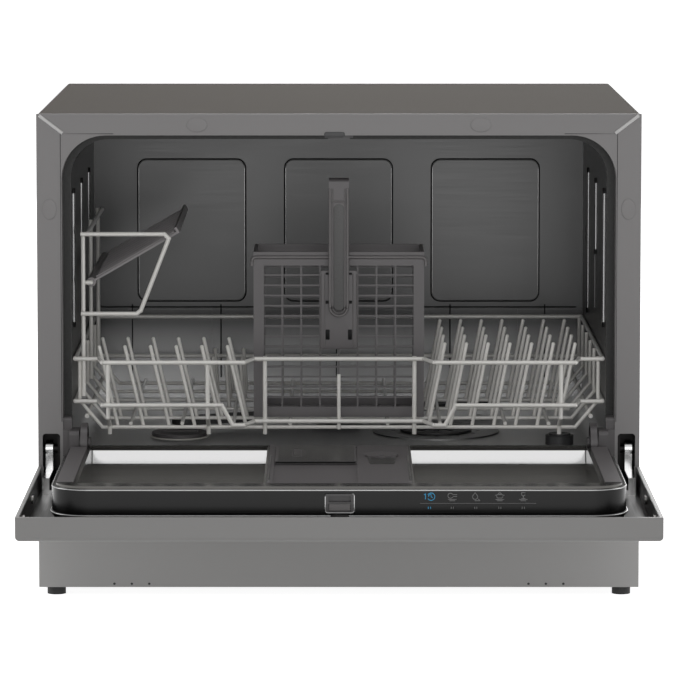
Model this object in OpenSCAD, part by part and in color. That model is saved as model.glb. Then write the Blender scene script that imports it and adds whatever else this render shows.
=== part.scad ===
/* [Case] */
// Width of the case
body_w = 550; // [535:1:600]
// Depth of the case from its front frame to its back
body_d = 460; // [450:1:500]
// Height of the case above its feet
body_h = 435; // [433:1:480]
// Height of the feet
foot_h = 7; // [5:0.5:12]
// Thickness of the painted case sheet
sheet = 1.2; // [0.8:0.1:1.5]
// Width of the front frame beside the mouth
frame_side = 22.7; // [21:0.1:24]
// Height of the front frame above the mouth
frame_top = 19.6; // [16:0.1:24]
// Radius of the upper corners of the mouth
mouth_r = 40; // [32:1:46]
// Height of the plain base panel
base_h = 93; // [91:1:94]

/* [Tub] */
// Depth from the front frame to the door seal
seal_y = 18.5; // [18:0.1:20]
// Width of the visible band of the door seal
seal_w = 7.3; // [6:0.1:8]
// Thickness of the door seal
seal_t = 4; // [3:0.5:5]
// Thickness of the stainless tub
tub_t = 1.2; // [0.8:0.1:1.6]
// Distance from the front frame to the back wall of the tub
tub_back = 400; // [395:1:410]
// Height of the tub floor above the worktop
tub_floor = 130; // [129:0.5:131]
// Radius of the lower corners of the tub
tub_low_r = 14; // [8:1:16]
// Height that the back wall panels stand proud
emboss = 2; // [1:0.5:4]

/* [Door] */
// Depth of the hinge axis behind the front frame
hinge_y = 12.5; // [12:0.1:13]
// Height of the hinge axis
hinge_z = 133.5; // [133:0.1:134]
// Length of the open door in front of the case
door_reach = 295; // [294.5:0.1:296]
// Height of the outer face of the open door
door_low = 98; // [97:0.5:99]
// Height of the rim of the door tray
door_rim = 21; // [18:0.5:21.5]
// Width of the folded rim of the door tray
rim_t = 3; // [2:0.5:4]
// Rounding of the outer edges of the door
door_r = 4.5; // [3:0.5:6]
// Gap between the door and the front frame
door_gap = 2; // [1.5:0.1:2.5]
// Half of the width of the inner door
liner_side = 28; // [27.5:0.1:28.5]
// Height of the top of the inner door
liner_top = 139; // [138.5:0.1:139.3]
// Distance from the front frame to the control strip
strip_in = 24; // [23:0.5:25]
// Radius of the front corners of the inner door
strip_r = 32; // [24:1:40]
// Thickness of the control strip
strip_t = 1.6; // [1.2:0.1:2.5]
// Height of the floor of the two recesses in the inner door
recess_z = 111; // [109:0.5:112]

/* [Rack] */
// Radius of the thick rack wires
wire_r = 2; // [1.75:0.05:2]
// Radius of the thin rack wires
thin_r = 1.7; // [1.5:0.05:1.75]
// Height of the rack rim
rim_z = 214.7; // [210:0.1:220]
// Height of the second wire of the rack
mid_z = 175.4; // [172:0.1:180]
// Height of the floor wires of the rack
floor_z = 150.5; // [150.3:0.1:151]
// Distance that the front wires bulge into the open door
bulge = 28; // [20:1:28]
// Distance between the floor wires of the rack
floor_pitch = 64; // [60:1:64]
// Angle that the plate tines lean
tine_lean = 13; // [0:1:14]
// Distance between the tines on the left
left_pitch = 23.65; // [20:0.05:24]
// Distance between the tines on the right
right_pitch = 20; // [18:0.5:20]

/* [Rack fittings] */
// Length of the cup shelf from its hinge to its edge
shelf_w = 93.5; // [70:0.5:95]
// Angle of the cup shelf above level
shelf_tilt = 30; // [0:1:45]
// Width of the cutlery basket
basket_w = 158; // [120:1:158]
// Depth of the cutlery basket
basket_d = 76; // [50:1:90]
// Height of the cutlery basket
basket_h = 151; // [120:1:155]
// Height of the top of the cutlery basket's handle above its floor
handle_h = 223; // [200:1:225]
// Radius of the rollers at the mouth
roller_r = 19; // [17:0.5:19]

/* [Wash parts] */
// Reach of the spray arm from its hub
arm_reach = 172; // [120:1:176]
// Distance from the front frame to the spray arm's hub
hub_y = 215; // [212:1:220]
// Radius of the water inlet's thread
inlet_r = 13.2; // [12:0.1:14]
// Radius of the drain spigot
drain_r = 9.5; // [8:0.1:12]
// Length of the pipe stubs behind the case
stub_out = 15; // [12:1:25]

/* [Hidden] */
$fn = 48;

// Clearances
fit_gap = 0.3;
run_gap = 0.05;
weld_gap = 0.05;

// Balls at the bends of wires, against the wire's radius
bend_ball = 1.08;
bend_stop = 0.3;

// Case
half_w = body_w / 2;
z_top = foot_h + body_h;
back_y = body_d;
mouth_hw = half_w - frame_side;
mouth_top = z_top - frame_top;
base_top = foot_h + base_h;
foot_y = 9.3;
frame_t = 2.4;
lip_t = 1;
notch_in = half_w - 20;
notch_out = half_w - 4;
// Places of the hinge's plates, pin and spring, measured in from the case's side
plate_x = half_w - 3.4;
pin_in = half_w - 19;
pin_out = half_w - 1.3;
post_x = half_w - 21;
arm_in = half_w - 13;
arm_out = half_w - 6.5;
spring_x = half_w - 12;
tab_in = half_w - 17;
notch_top = 149;
wrap_end = back_y - sheet;
wrap_in = half_w - sheet;
middle_y = (back_y + stub_out - door_reach) / 2;

// Tub
seal_back = seal_y + seal_t;
tub_hw = mouth_hw - seal_w;
tub_top = mouth_top - 2.4;
tub_r = mouth_r - seal_w + 2;
tub_out = tub_hw + tub_t;
tub_under = tub_floor - tub_t;
tray_wall = 1.5;
tray_floor = foot_h + tray_wall;

// Door
tray_top = door_low + door_rim;
strip_y = door_reach - strip_in;
liner_hw = half_w - liner_side;
tray_hw = half_w - rim_t;
strip_low = door_low + 16;
ledge_top = liner_top + 2.6;
ledge_in = 3;
recess_in = 65;
recess_out = liner_hw - 21.5;
recess_back = -5;
recess_front = -strip_y + 21;
roller_cut_x = liner_hw - 20.6;
roller_cut_y = -26;
block_hw = 62.9;

// Rack
rack_front = 26;
rack_back = 365;
rack_hw = tub_hw - 0.5 - wire_r;
side_in = rack_hw - wire_r - thin_r - weld_gap;
bulge_out = side_in - 22.75;
// Run over which a front wire turns out into its bulge
bulge_run = 5;
bulge_in = 87;
// Ends of the middle and side lengths of the front wires
middle_end = bulge_in - 17;
side_end = bulge_out + bulge_run + 5;
corner_x = side_in - 20.75;
roller_z = 140;
roller_t = 6;
runner_z = roller_z + roller_r + fit_gap + wire_r;
slope_run = side_in - corner_x;
slope_rise = mid_z - floor_z;
slope_seat = (wire_r + thin_r + weld_gap) * norm([slope_run, slope_rise]);
runner_x = corner_x + ((runner_z - floor_z) * slope_run + slope_seat) / slope_rise;
roller_x = runner_x - 2.4;
foot_z = 144.5;
tine_left = -203.5;
tine_right = 82.5;
upright_y = rack_front + 2 * wire_r + weld_gap;
floor_rows = [for (i = [0:5]) upright_y + wire_r + thin_r + weld_gap + i * floor_pitch * 0.98];
cup_x = -(side_in - thin_r - wire_r - weld_gap);
shelf_x = cup_x + 7;
shelf_z = 284;
shelf_y0 = 42;
shelf_y1 = 280;
basket_z = floor_z + 3 * thin_r + weld_gap + fit_gap;
basket_y = 62;
basket_t = 2;
basket_rim = 3;

// Wash parts
sump_x = 92;
sump_y = 150;
sump_r = 46;
salt_x = -150;
salt_y = 120;
salt_r = 27;
float_x = tub_hw - 40;
float_y = 64;
pump_z = 52;
hub_low = 96;
stub_z = 70;
// Each stub steps up to its full radius just behind the rear panel
stub_root = 1;
stub_step = 0.8;
inlet_x = 180;
drain_x = -180;
gland_x = -110;

// Moves the object so that the middle of its footprint is at the origin
module seated() {
  translate([0, -middle_y, 0]) children();
}

// A flat shape drawn in x and z, made solid from y0 to y1
module along_y(y0, y1) {
  translate([0, y1, 0]) rotate([90, 0, 0]) linear_extrude(y1 - y0) children();
}

// A flat shape drawn in y and z, made solid from x0 to x1
module along_x(x0, x1) {
  translate([x0, 0, 0]) rotate([90, 0, 90]) linear_extrude(x1 - x0) children();
}

// A flat shape drawn in x and y, made solid from z0 to z1
module along_z(z0, z1) {
  translate([0, 0, z0]) linear_extrude(z1 - z0) children();
}

module block(x0, x1, y0, y1, z0, z1) {
  translate([x0, y0, z0]) cube([x1 - x0, y1 - y0, z1 - z0]);
}

// A rectangle from one corner to the other, with four rounded corners
module round_rect(x0, x1, y0, y1, r) {
  translate([x0 + r, y0]) square([x1 - x0 - 2 * r, y1 - y0]);
  translate([x0, y0 + r]) square([x1 - x0, y1 - y0 - 2 * r]);
  for (x = [x0 + r, x1 - r])
    for (y = [y0 + r, y1 - r])
      translate([x, y]) circle(r);
}

// The outline of the mouth: wide upper corners and smaller lower ones
module mouth_shape(hw, top, low, r, low_r) {
  translate([-hw + r, low + low_r]) square([2 * hw - 2 * r, top - low - low_r]);
  translate([-hw, low + low_r]) square([2 * hw, top - low - low_r - r]);
  translate([-hw + low_r, low]) square([2 * hw - 2 * low_r, low_r + 1]);
  for (side = [-1, 1]) {
    translate([side * (hw - r), top - r]) circle(r, $fn = 96);
    translate([side * (hw - low_r), low + low_r]) circle(low_r);
  }
}

// A straight wire from a to b
module rod(a, b, r) {
  v = b - a;
  len = norm(v);
  translate(a) rotate([0, acos(v[2] / len), atan2(v[1], v[0])]) cylinder(h = len, r = r, $fn = 16);
}

// A wire through a list of points, with a ball at each bend that the straight runs stop short of
module bent_wire(points, r) {
  last = len(points) - 1;
  for (i = [1:last]) {
    a = points[i - 1];
    b = points[i];
    step = (b - a) / norm(b - a) * r * bend_stop;
    rod(i == 1 ? a : a + step, i == last ? b : b - step, r);
  }
  if (last > 1)
    for (i = [1:last - 1]) translate(points[i]) sphere(r * bend_ball, $fn = 14);
}

// A pipe along one axis
module pipe_y(x, z, y0, y1, r) {
  translate([x, y0, z]) rotate([-90, 0, 0]) cylinder(h = y1 - y0, r = r);
}

module pipe_x(y, z, x0, x1, r) {
  translate([x0, y, z]) rotate([0, 90, 0]) cylinder(h = x1 - x0, r = r);
}

module pipe_z(x, y, z0, z1, r) {
  translate([x, y, z0]) cylinder(h = z1 - z0, r = r);
}

// Draws one side as it is, or mirrored to the other
module on_side(side) {
  if (side > 0) children();
  else mirror([1, 0, 0]) children();
}

// ---- Case ----

module cabinet_wrap() {
  color([0.40, 0.38, 0.36]) along_y(frame_t, wrap_end) difference() {
    round_rect(-half_w, half_w, foot_h, z_top, 3);
    round_rect(-wrap_in, wrap_in, foot_h - 10, z_top - sheet, 1.8);
    translate([-half_w, foot_h - 5]) square([body_w, 9]);
  }
}

module front_frame() {
  color([0.47, 0.46, 0.45]) difference() {
    union() {
      along_y(0, frame_t) difference() {
        round_rect(-half_w, half_w, base_top, z_top, 0.5);
        mouth_shape(mouth_hw, mouth_top, base_top - 20, mouth_r, 2);
      }
      along_y(0.5, seal_back) intersection() {
        difference() {
          mouth_shape(mouth_hw + lip_t, mouth_top + lip_t, base_top - 20, mouth_r + lip_t, 2);
          mouth_shape(mouth_hw, mouth_top, base_top - 30, mouth_r, 2);
        }
        translate([-half_w, tub_floor]) square([body_w, z_top - tub_floor]);
      }
    }
    for (side = [-1, 1]) on_side(side)
      along_y(-1, frame_t + 1) {
        round_rect(notch_in, notch_out, base_top - 8, notch_top, 3);
      }
  }
}

module base_panel() {
  color([0.47, 0.46, 0.45]) difference() {
    union() {
      block(-half_w, half_w, 0, sheet, foot_h, base_top);
      for (side = [-1, 1]) on_side(side)
        block(wrap_in - 1.5, wrap_in, sheet, frame_t + 12, foot_h + 50, base_top);
      block(-mouth_hw, mouth_hw, sheet, 14, base_top - 1.2, base_top);
    }
    for (x = [174, 190, 206]) for (side = [-1, 1])
      pipe_y(side * x, foot_h + 3, -1, sheet + 1, 1.2);
    for (side = [-1, 1]) on_side(side)
      block(notch_in, notch_out, -1, sheet + 1, base_top - 2, base_top + 1);
  }
}

module base_tray() {
  color([0.13, 0.13, 0.14]) {
    difference() {
      block(-wrap_in + 2, wrap_in - 2, sheet, wrap_end, foot_h, foot_h + 40);
      block(-wrap_in + 2 + tray_wall, wrap_in - 2 - tray_wall, sheet + tray_wall,
        wrap_end - tray_wall, tray_floor, foot_h + 41);
      for (x = [-half_w + 20, half_w - 20]) for (y = [foot_y, back_y - 40])
        pipe_z(x, y, foot_h - 1, tray_floor + 1, 3.05);
    }
    for (y = [200, 300]) block(-200, 200, y, y + tray_wall, tray_floor, tray_floor + 12);
  }
}

module feet() {
  color([0.08, 0.08, 0.08]) for (x = [-half_w + 15.5, half_w - 15.5]) for (y = [foot_y, back_y - 40]) {
    pipe_z(x, y, 0, foot_h, 8.5);
    dx = x > 0 ? -4.5 : 4.5;
    pipe_z(x + dx, y, foot_h - 1, tray_floor + 3, 3);
  }
}

module rear_panel() {
  color([0.55, 0.55, 0.54]) difference() {
    along_y(wrap_end, back_y) {
      round_rect(-half_w, half_w, foot_h + 4, z_top, 3);
    }
    pipe_y(inlet_x, stub_z, wrap_end - 1, back_y + 1, inlet_r + fit_gap);
    pipe_y(drain_x, stub_z, wrap_end - 1, back_y + 1, drain_r + fit_gap);
    pipe_y(gland_x, stub_z, wrap_end - 1, back_y + 1, 8.5);
    for (i = [-3:3])
      block(-60 + i * 12, -54 + i * 12, wrap_end - 1, back_y + 1, 330, 390);
  }
}

module rear_screws() {
  color([0.75, 0.75, 0.75]) for (x = [-half_w + 9, 0, half_w - 9]) for (z = [foot_h + 12, z_top - 9]) {
    pipe_y(x, z, back_y, back_y + 2.2, 3.6);
  }
}

module tub() {
  color([0.35, 0.35, 0.34]) {
    difference() {
      union() {
        along_y(seal_back, tub_back + tub_t) {
          mouth_shape(tub_out, tub_top + tub_t, tub_under, tub_r + tub_t, tub_low_r);
        }
        along_y(seal_back, seal_back + tub_t) {
          mouth_shape(mouth_hw, mouth_top, tub_under, mouth_r, tub_low_r);
        }
      }
      along_y(seal_back - 1, tub_back) {
        mouth_shape(tub_hw, tub_top, tub_floor, tub_r, tub_low_r);
      }
      pipe_z(sump_x, sump_y, tub_under - 1, tub_floor + 1, sump_r);
      pipe_z(salt_x, salt_y, tub_under - 1, tub_floor + 1, salt_r + 1);
      pipe_z(0, hub_y, tub_under - 1, tub_floor + 1, 14.3);
      for (side = [-1, 1]) pipe_x(345, 300, side * tub_hw - 2, side * tub_hw + 2, 9);
    }
    // Embossed panels and the ledge of the back wall
    for (x = [-147, 0, 147])
      along_y(tub_back - emboss, tub_back) {
        round_rect(x - 54, x + 54, 227, 370, 8);
      }
    for (x = [-167, 41, 225]) block(x - 45, x + 40, tub_back - emboss, tub_back, 139, 219);
    // Beads in the side walls
    for (side = [-1, 1]) for (y = [67, 189, 312])
      block(side > 0 ? tub_hw - 1 : -tub_hw, side > 0 ? tub_hw : -tub_hw + 1, y, y + 14, 244, 367);
  }
}

module door_gasket() {
  color([0.05, 0.05, 0.05]) difference() {
    along_y(seal_y, seal_back) difference() {
      mouth_shape(mouth_hw, mouth_top, tub_floor, mouth_r, 2);
      mouth_shape(tub_hw, mouth_top - 4.7, tub_floor - 20, tub_r, 2);
    }
  }
}

module sill_seal() {
  color([0.06, 0.06, 0.06]) {
    block(-mouth_hw + 24, mouth_hw - 24, 2, seal_back, base_top, tub_floor - 12);
    block(-mouth_hw + 24, mouth_hw - 24, 8, seal_back, tub_floor - 12, tub_floor - 1.2);
    block(-tub_hw + 14, tub_hw - 14, seal_back - 3, seal_back, tub_floor - 1.2, tub_floor + 1);
  }
}

module latch_catch() {
  color([0.1, 0.1, 0.1]) {
    block(-10, 10, 6.2, 10, mouth_top - 4, mouth_top);
    block(-13, 13, 11, 16, mouth_top - 3, mouth_top);
    block(-13, 13, 10, 11, mouth_top - 1.5, mouth_top);
  }
}

// ---- Wash parts in the base ----

module sump() {
  color([0.16, 0.16, 0.17]) difference() {
    union() {
      pipe_z(sump_x, sump_y, 58, tub_under - 4, sump_r + 3);
      pipe_z(sump_x, sump_y, tub_under - 4, tub_under, sump_r + 12);
      block(sump_x - 12, sump_x + 12, sump_y - 12, sump_y + 12, tray_floor, 58);
    }
    pipe_z(sump_x, sump_y, 61, tub_under + 1, sump_r);
  }
}

module fine_filter() {
  color([0.62, 0.62, 0.62]) difference() {
    pipe_z(sump_x, sump_y, tub_floor + 0.02, tub_floor + 1.2, sump_r + 14);
    pipe_z(sump_x, sump_y, tub_floor - 1, tub_floor + 2, 31);
    for (a = [0:30:330]) translate([sump_x, sump_y, 0]) rotate([0, 0, a])
      pipe_z(sump_r - 6, 0, tub_floor - 1, tub_floor + 2, 2.2);
  }
}

module wash_pump() {
  color([0.2, 0.2, 0.21]) {
    pipe_y(0, pump_z, 90, 150, 32);
    pipe_y(0, pump_z, 40, 90, 26);
    block(-24, 24, 50, 140, tray_floor, 24);
    pipe_x(sump_y - 12, 68, 20, sump_x - sump_r - 3.05, 11);
  }
}

module circulation_pipe() {
  color([0.1, 0.1, 0.1]) {
    bent_wire([[0, 150.1, pump_z], [0, hub_y, pump_z], [0, hub_y, hub_low - 0.1]], 10);
  }
}

module spray_hub() {
  color([0.2, 0.2, 0.2]) {
    pipe_z(0, hub_y, hub_low, tub_floor + 3.5, 14);
    pipe_z(0, hub_y, tub_floor, tub_floor + 3.4, 22);
    pipe_z(0, hub_y, tub_floor + 3.5, tub_floor + 13, 9);
  }
}

module water_heater() {
  color([0.7, 0.7, 0.7]) {
    pipe_x(250, 42, -120, 0, 17);
    block(-112, -8, 240, 260, tray_floor, 27);
    pipe_x(250, 42, 0, 6, 8);
  }
}

module drain_pump() {
  color([0.15, 0.15, 0.16]) {
    pipe_x(sump_y, 78, sump_x + sump_r + 3.05, 185, 22);
    block(150, 178, sump_y - 18, sump_y + 18, tray_floor, 60);
    pipe_y(165, 78, sump_y + 20, sump_y + 40, 8);
  }
}

module drain_hose() {
  color([0.3, 0.3, 0.3]) {
    bent_wire([[165, 190.6, 78], [165, 396, 76], [drain_x, 396, stub_z], [drain_x, 434, stub_z]], 8);
  }
}

module drain_spigot() {
  color([0.3, 0.3, 0.3]) difference() {
    union() {
      pipe_y(drain_x, stub_z, 434.1, back_y + stub_root, drain_r - stub_step);
      pipe_y(drain_x, stub_z, back_y + stub_root, back_y + stub_out, drain_r);
      pipe_y(drain_x, stub_z, wrap_end - 4, wrap_end, drain_r + 8);
    }
    pipe_y(drain_x, stub_z, 430, back_y + stub_out + 1, drain_r - 2.5);
  }
}

module softener() {
  color([0.85, 0.85, 0.83]) {
    difference() {
      union() {
        block(salt_x - 60, salt_x + 60, salt_y - 60, salt_y + 60, tray_floor, tub_under - 8);
        pipe_z(salt_x, salt_y, tub_under - 8, tub_under, salt_r + 8);
        pipe_z(salt_x, salt_y, tub_under, tub_floor + 0.8, salt_r + 0.7);
      }
      block(salt_x - 57, salt_x + 57, salt_y - 57, salt_y + 57, tray_floor + 3, tub_under - 11);
      pipe_z(salt_x, salt_y, tray_floor + 20, tub_floor + 2, salt_r - 6);
    }
  }
}

module salt_cap() {
  color([0.9, 0.9, 0.9]) {
    pipe_z(salt_x, salt_y, tub_floor - 9, tub_floor + 1.1, salt_r - 6 - run_gap);
    pipe_z(salt_x, salt_y, tub_floor + 1.1, tub_floor + 4, salt_r - 1);
    block(salt_x - 17, salt_x + 17, salt_y - 2.5, salt_y + 2.5, tub_floor + 4, tub_floor + 5.6);
  }
}

module inlet_valve() {
  color([0.9, 0.9, 0.88]) {
    difference() {
      union() {
        pipe_y(inlet_x, stub_z, wrap_end - 45, back_y + stub_root, inlet_r - stub_step);
        pipe_y(inlet_x, stub_z, back_y + stub_root, back_y + stub_out, inlet_r);
        pipe_y(inlet_x, stub_z, wrap_end - 4, wrap_end, inlet_r + 8);
        block(inlet_x - 22, inlet_x + 22, wrap_end - 52, wrap_end - 28, stub_z - 18, stub_z + 26);
      }
      pipe_y(inlet_x, stub_z, back_y, back_y + stub_out + 1, inlet_r - 3.7);
    }
    pipe_z(inlet_x, wrap_end - 40, stub_z + 26, stub_z + 42, 8);
    block(inlet_x - 14, inlet_x + 14, wrap_end - 50, wrap_end - 30, tray_floor, stub_z - 18);
  }
}

module inlet_hose() {
  color([0.75, 0.75, 0.72]) {
    bent_wire([[inlet_x, wrap_end - 40, stub_z + 42.1], [inlet_x, wrap_end - 40, 122],
      [-half_w + 16, wrap_end - 40, 122], [-half_w + 16, 330, 160], [-half_w + 16, 330, 199.9]], 6);
  }
}

module air_break() {
  color([0.88, 0.88, 0.86]) {
    difference() {
      block(-wrap_in + 0.1, -tub_out - 2, 180, 350, 200, 380);
      for (i = [0:3]) block(-wrap_in - 1, -tub_out - 8, 190, 320, 212 + i * 42, 246 + i * 42);
    }
    block(-tub_out - 2, -tub_hw - tub_t, 337, 353, 292, 308);
  }
}

module power_board() {
  color([0.1, 0.35, 0.2]) {
    block(205, 268, 260, 380, tray_floor + 6, tray_floor + 8);
    block(210, 235, 270, 300, tray_floor + 8, tray_floor + 30);
    block(212, 228, 320, 352, tray_floor + 8, tray_floor + 24);
    pipe_z(250, 300, tray_floor + 8, tray_floor + 33, 9);
    for (x = [210, 262]) for (y = [266, 374]) pipe_z(x, y, tray_floor, tray_floor + 6, 3);
  }
}

module mains_gland() {
  color([0.07, 0.07, 0.07]) difference() {
    union() {
      pipe_y(gland_x, stub_z, wrap_end - 8, back_y + 10, 8.2);
      pipe_y(gland_x, stub_z, back_y, back_y + 3, 12);
      pipe_y(gland_x, stub_z, wrap_end - 3, wrap_end, 12);
    }
    pipe_y(gland_x, stub_z, wrap_end - 9, back_y + 11, 4);
  }
}

// ---- Hinges and rollers ----

module hinge_bracket(side) {
  color([0.7, 0.7, 0.68]) on_side(side) {
    block(plate_x, wrap_in, frame_t + 12.2, 56, 60, 165);
    pipe_x(hinge_y, hinge_z, pin_in, pin_out, 4);
    difference() {
      block(plate_x, wrap_in, 3, frame_t + 12.2, base_top + 2, 165);
      block(plate_x - 1, half_w + 5, 0, frame_t + 0.1, base_top, 170);
    }
    block(post_x, post_x + 3.5, 4, 24, 116, 149);
    block(post_x, half_w - 2, 24, 27, 112, 149);
  }
}

module hinge_bracket_left() {
  hinge_bracket(-1);
}

module hinge_bracket_right() {
  hinge_bracket(1);
}

module door_spring(side) {
  color([0.6, 0.6, 0.6]) on_side(side) {
    pipe_y(spring_x, 80, 75, 190, 6);
    pipe_y(spring_x, 80, 60.1, 75, 1.5);
    pipe_y(spring_x, 80, 190, 215, 1.5);
    block(tab_in, pin_out, 215, 219, 66, 94);
    block(tab_in, pin_out, 56.1, 60.1, 66, 94);
  }
}

module door_spring_left() {
  door_spring(-1);
}

module door_spring_right() {
  door_spring(1);
}

module roller_bracket(side) {
  color([0.14, 0.13, 0.14]) on_side(side) {
    difference() {
      union() {
        along_x(roller_x + roller_t + 1.6, mouth_hw) {
          round_rect(-10, seal_y - 0.5, 129, 153, 4);
        }
        along_x(mouth_hw - 8, mouth_hw) {
          round_rect(2, seal_y - 0.5, 129, 164, 3);
        }
      }
      block(mouth_hw - 6.3, mouth_hw + 1, -20, -0.6, 100, 170);
    }
    pipe_x(0, roller_z, roller_x - 1.5, roller_x + roller_t + 1.7, 4);
    pipe_x(0, roller_z, roller_x - 2.5, roller_x - 0.5, 6);
    pipe_x(0, roller_z, roller_x + roller_t + 0.5, roller_x + roller_t + 1.7, 9);
  }
}

module roller_bracket_left() {
  roller_bracket(-1);
}

module roller_bracket_right() {
  roller_bracket(1);
}

module roller(side) {
  color([0.17, 0.16, 0.17]) on_side(side) difference() {
    union() {
      pipe_x(0, roller_z, roller_x, roller_x + roller_t, roller_r);
    }
    pipe_x(0, roller_z, roller_x - 1, roller_x + roller_t + 1, 4 + run_gap);
    difference() {
      pipe_x(0, roller_z, roller_x - 1, roller_x + 1, roller_r - 2.5);
      pipe_x(0, roller_z, roller_x - 2, roller_x + 2, 7.5);
    }
  }
}

module roller_left() {
  roller(-1);
}

module roller_right() {
  roller(1);
}

module hinge_arm(side) {
  color([0.72, 0.72, 0.72]) on_side(side) difference() {
    union() {
      pipe_x(hinge_y, hinge_z, arm_in, arm_out, 8);
      block(arm_in, arm_out, hinge_y - 7, hinge_y + 7, 104, hinge_z);
      block(arm_in, arm_out, -46, hinge_y + 7, 104, 115);
      block(arm_in - 14, arm_out, -46, -20, door_low + sheet, 104);
    }
    pipe_x(hinge_y, hinge_z, arm_in - 2, arm_out + 1.5, 4 + run_gap);
  }
}

module hinge_arm_left() {
  hinge_arm(-1);
}

module hinge_arm_right() {
  hinge_arm(1);
}

// ---- Door ----

module door_panel() {
  color([0.44, 0.43, 0.42]) difference() {
    intersection() {
      along_x(-half_w, half_w) {
        translate([-door_reach, door_low + door_r]) square([door_reach - door_gap, door_rim - door_r]);
        translate([-door_reach + door_r, door_low]) square([door_reach - door_gap - door_r, door_r + 1]);
        translate([-door_reach + door_r, door_low + door_r]) circle(door_r);
      }
      along_y(-door_reach, -door_gap) {
        translate([-half_w, door_low + door_r]) square([body_w, door_rim - door_r]);
        translate([-half_w + door_r, door_low]) square([body_w - 2 * door_r, door_r + 1]);
        for (side = [-1, 1]) translate([side * (half_w - door_r), door_low + door_r]) circle(door_r);
      }
    }
    block(-tray_hw, tray_hw, -door_reach + rim_t, -door_gap - sheet, door_low + sheet, tray_top + 1);
    // The rear wall leaves room for the rollers and their brackets as the door turns
    for (side = [-1, 1]) on_side(side)
      block(roller_cut_x, half_w - 5, -door_gap - 2 * sheet, 0, door_low + 2.4, tray_top + 1);
  }
}

// The plan outline of the inner door, drawn in by a distance
module liner_plan(inset) {
  hw = liner_hw - inset;
  front = -strip_y + inset;
  r = strip_r - inset;
  translate([-hw, front + r]) square([2 * hw, -door_gap - inset - front - r]);
  translate([-hw + r, front]) square([2 * hw - 2 * r, r + 1]);
  for (side = [-1, 1]) translate([side * (hw - r), front + r]) circle(r);
}

module door_liner() {
  skin = 1.2;
  low = door_low + sheet;
  split = strip_t + 0.1;
  color([0.45, 0.45, 0.44]) difference() {
    union() {
      difference() {
        union() {
          along_z(low, liner_top) intersection() {
            liner_plan(split);
            translate([-300, -strip_y]) square([600, strip_y - door_gap]);
          }
          along_z(liner_top - 1, ledge_top) intersection() {
            liner_plan(ledge_in);
            translate([-300, -strip_y]) square([600, 24]);
          }
        }
        along_z(low - 1, liner_top - skin) {
          liner_plan(split + skin);
        }
      }
      for (side = [-1, 1]) on_side(side)
        block(recess_in - skin, recess_out + skin, recess_front - skin, recess_back + skin,
          recess_z - skin, liner_top - 0.5);
    }
    for (side = [-1, 1]) on_side(side) {
      block(recess_in, recess_out, recess_front, recess_back, recess_z, liner_top + 5);
      block(roller_cut_x, liner_hw + 5, roller_cut_y, 0, low - 1, liner_top + 5);
    }
    block(-block_hw - 0.1, block_hw + 0.1, recess_front, recess_back + 1.2, low - 1, liner_top + 5);
    block(-12, 13, -strip_y - 1, recess_front - 8, 119, 136);
  }
}

module control_strip() {
  color([0.2, 0.2, 0.21]) difference() {
    along_z(strip_low, liner_top) intersection() {
      difference() {
        liner_plan(0);
        liner_plan(strip_t);
      }
      translate([-300, -strip_y - 1]) square([600, strip_r + 4]);
    }
    block(-12, 13, -strip_y - 1, -strip_y + 5, 119, 136);
  }
}

module control_board() {
  color([0.1, 0.35, 0.2]) {
    block(40, 190, -strip_y + 5, -strip_y + 6.6, 116, 134);
    for (x = [45, 185]) pipe_y(x, 125, -strip_y + 3.05, -strip_y + 5, 2.5);
    for (i = [0:4]) pipe_y(78 + i * 20, 128, -strip_y + 3.2, -strip_y + 5, 2);
  }
}

module dispenser_body() {
  color([0.16, 0.15, 0.16]) difference() {
    union() {
      block(-block_hw, block_hw, recess_front + 0.1, recess_back + 1.1, door_low + sheet, liner_top);
    }
    block(-50, 9, -108, -22, 112, liner_top + 1);
    pipe_z(38, -72, 118, liner_top + 1, 11);
    block(-57.5, 16, recess_front - 1, -14, liner_top - 1.4, liner_top + 1);
  }
}

module detergent_lid() {
  color([0.19, 0.18, 0.19]) {
    block(-57, 15.5, -116, -14.5, liner_top - 1.1, liner_top + 1);
    block(-57, 15.5, -116, -113.5, liner_top + 1, liner_top + 1.8);
    block(-44, -30, -60, -46, liner_top + 1, liner_top + 1.4);
  }
}

module rinse_aid_cap() {
  color([0.15, 0.14, 0.15]) {
    pipe_z(38, -72, 122, liner_top + 0.3, 11 - run_gap);
    pipe_z(38, -72, liner_top + 0.3, liner_top + 2, 15);
    block(36, 40, -84, -60, liner_top + 2, liner_top + 2.7);
  }
}

module latch_housing() {
  color([0.12, 0.12, 0.12]) difference() {
    block(-11.6, 12.6, -strip_y - 0.4, recess_front - 8.2, 119.4, 135.6);
    block(-9, 10, -strip_y - 1, -strip_y + 9, 120.6, 127);
    block(-9, 10, -strip_y - 1, -strip_y + 4, 128.5, 133.6);
  }
}

module latch_tongue() {
  color([0.85, 0.85, 0.86]) {
    block(-8.6, 9.6, -strip_y + 0.6, -strip_y + 8.2, 121, 126.6);
  }
}

module rail(side) {
  color([0.22, 0.21, 0.22]) on_side(side) {
    block(liner_hw - 18, liner_hw - 3.5, -strip_y + 35, roller_cut_y, liner_top, liner_top + 1.6);
  }
}

module rail_left() {
  rail(-1);
}

module rail_right() {
  rail(1);
}

module door_screws() {
  color([0.75, 0.75, 0.75]) for (side = [-1, 1]) on_side(side) {
    for (y = [-door_reach + 45, -door_reach + 155]) pipe_x(y, 110, tray_hw - 2.2, tray_hw, 4);
    for (x = [90, 200]) pipe_z(x, -door_reach + 13, door_low + sheet, door_low + sheet + 2, 4);
  }
}

// ---- Moving wash parts ----

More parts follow.
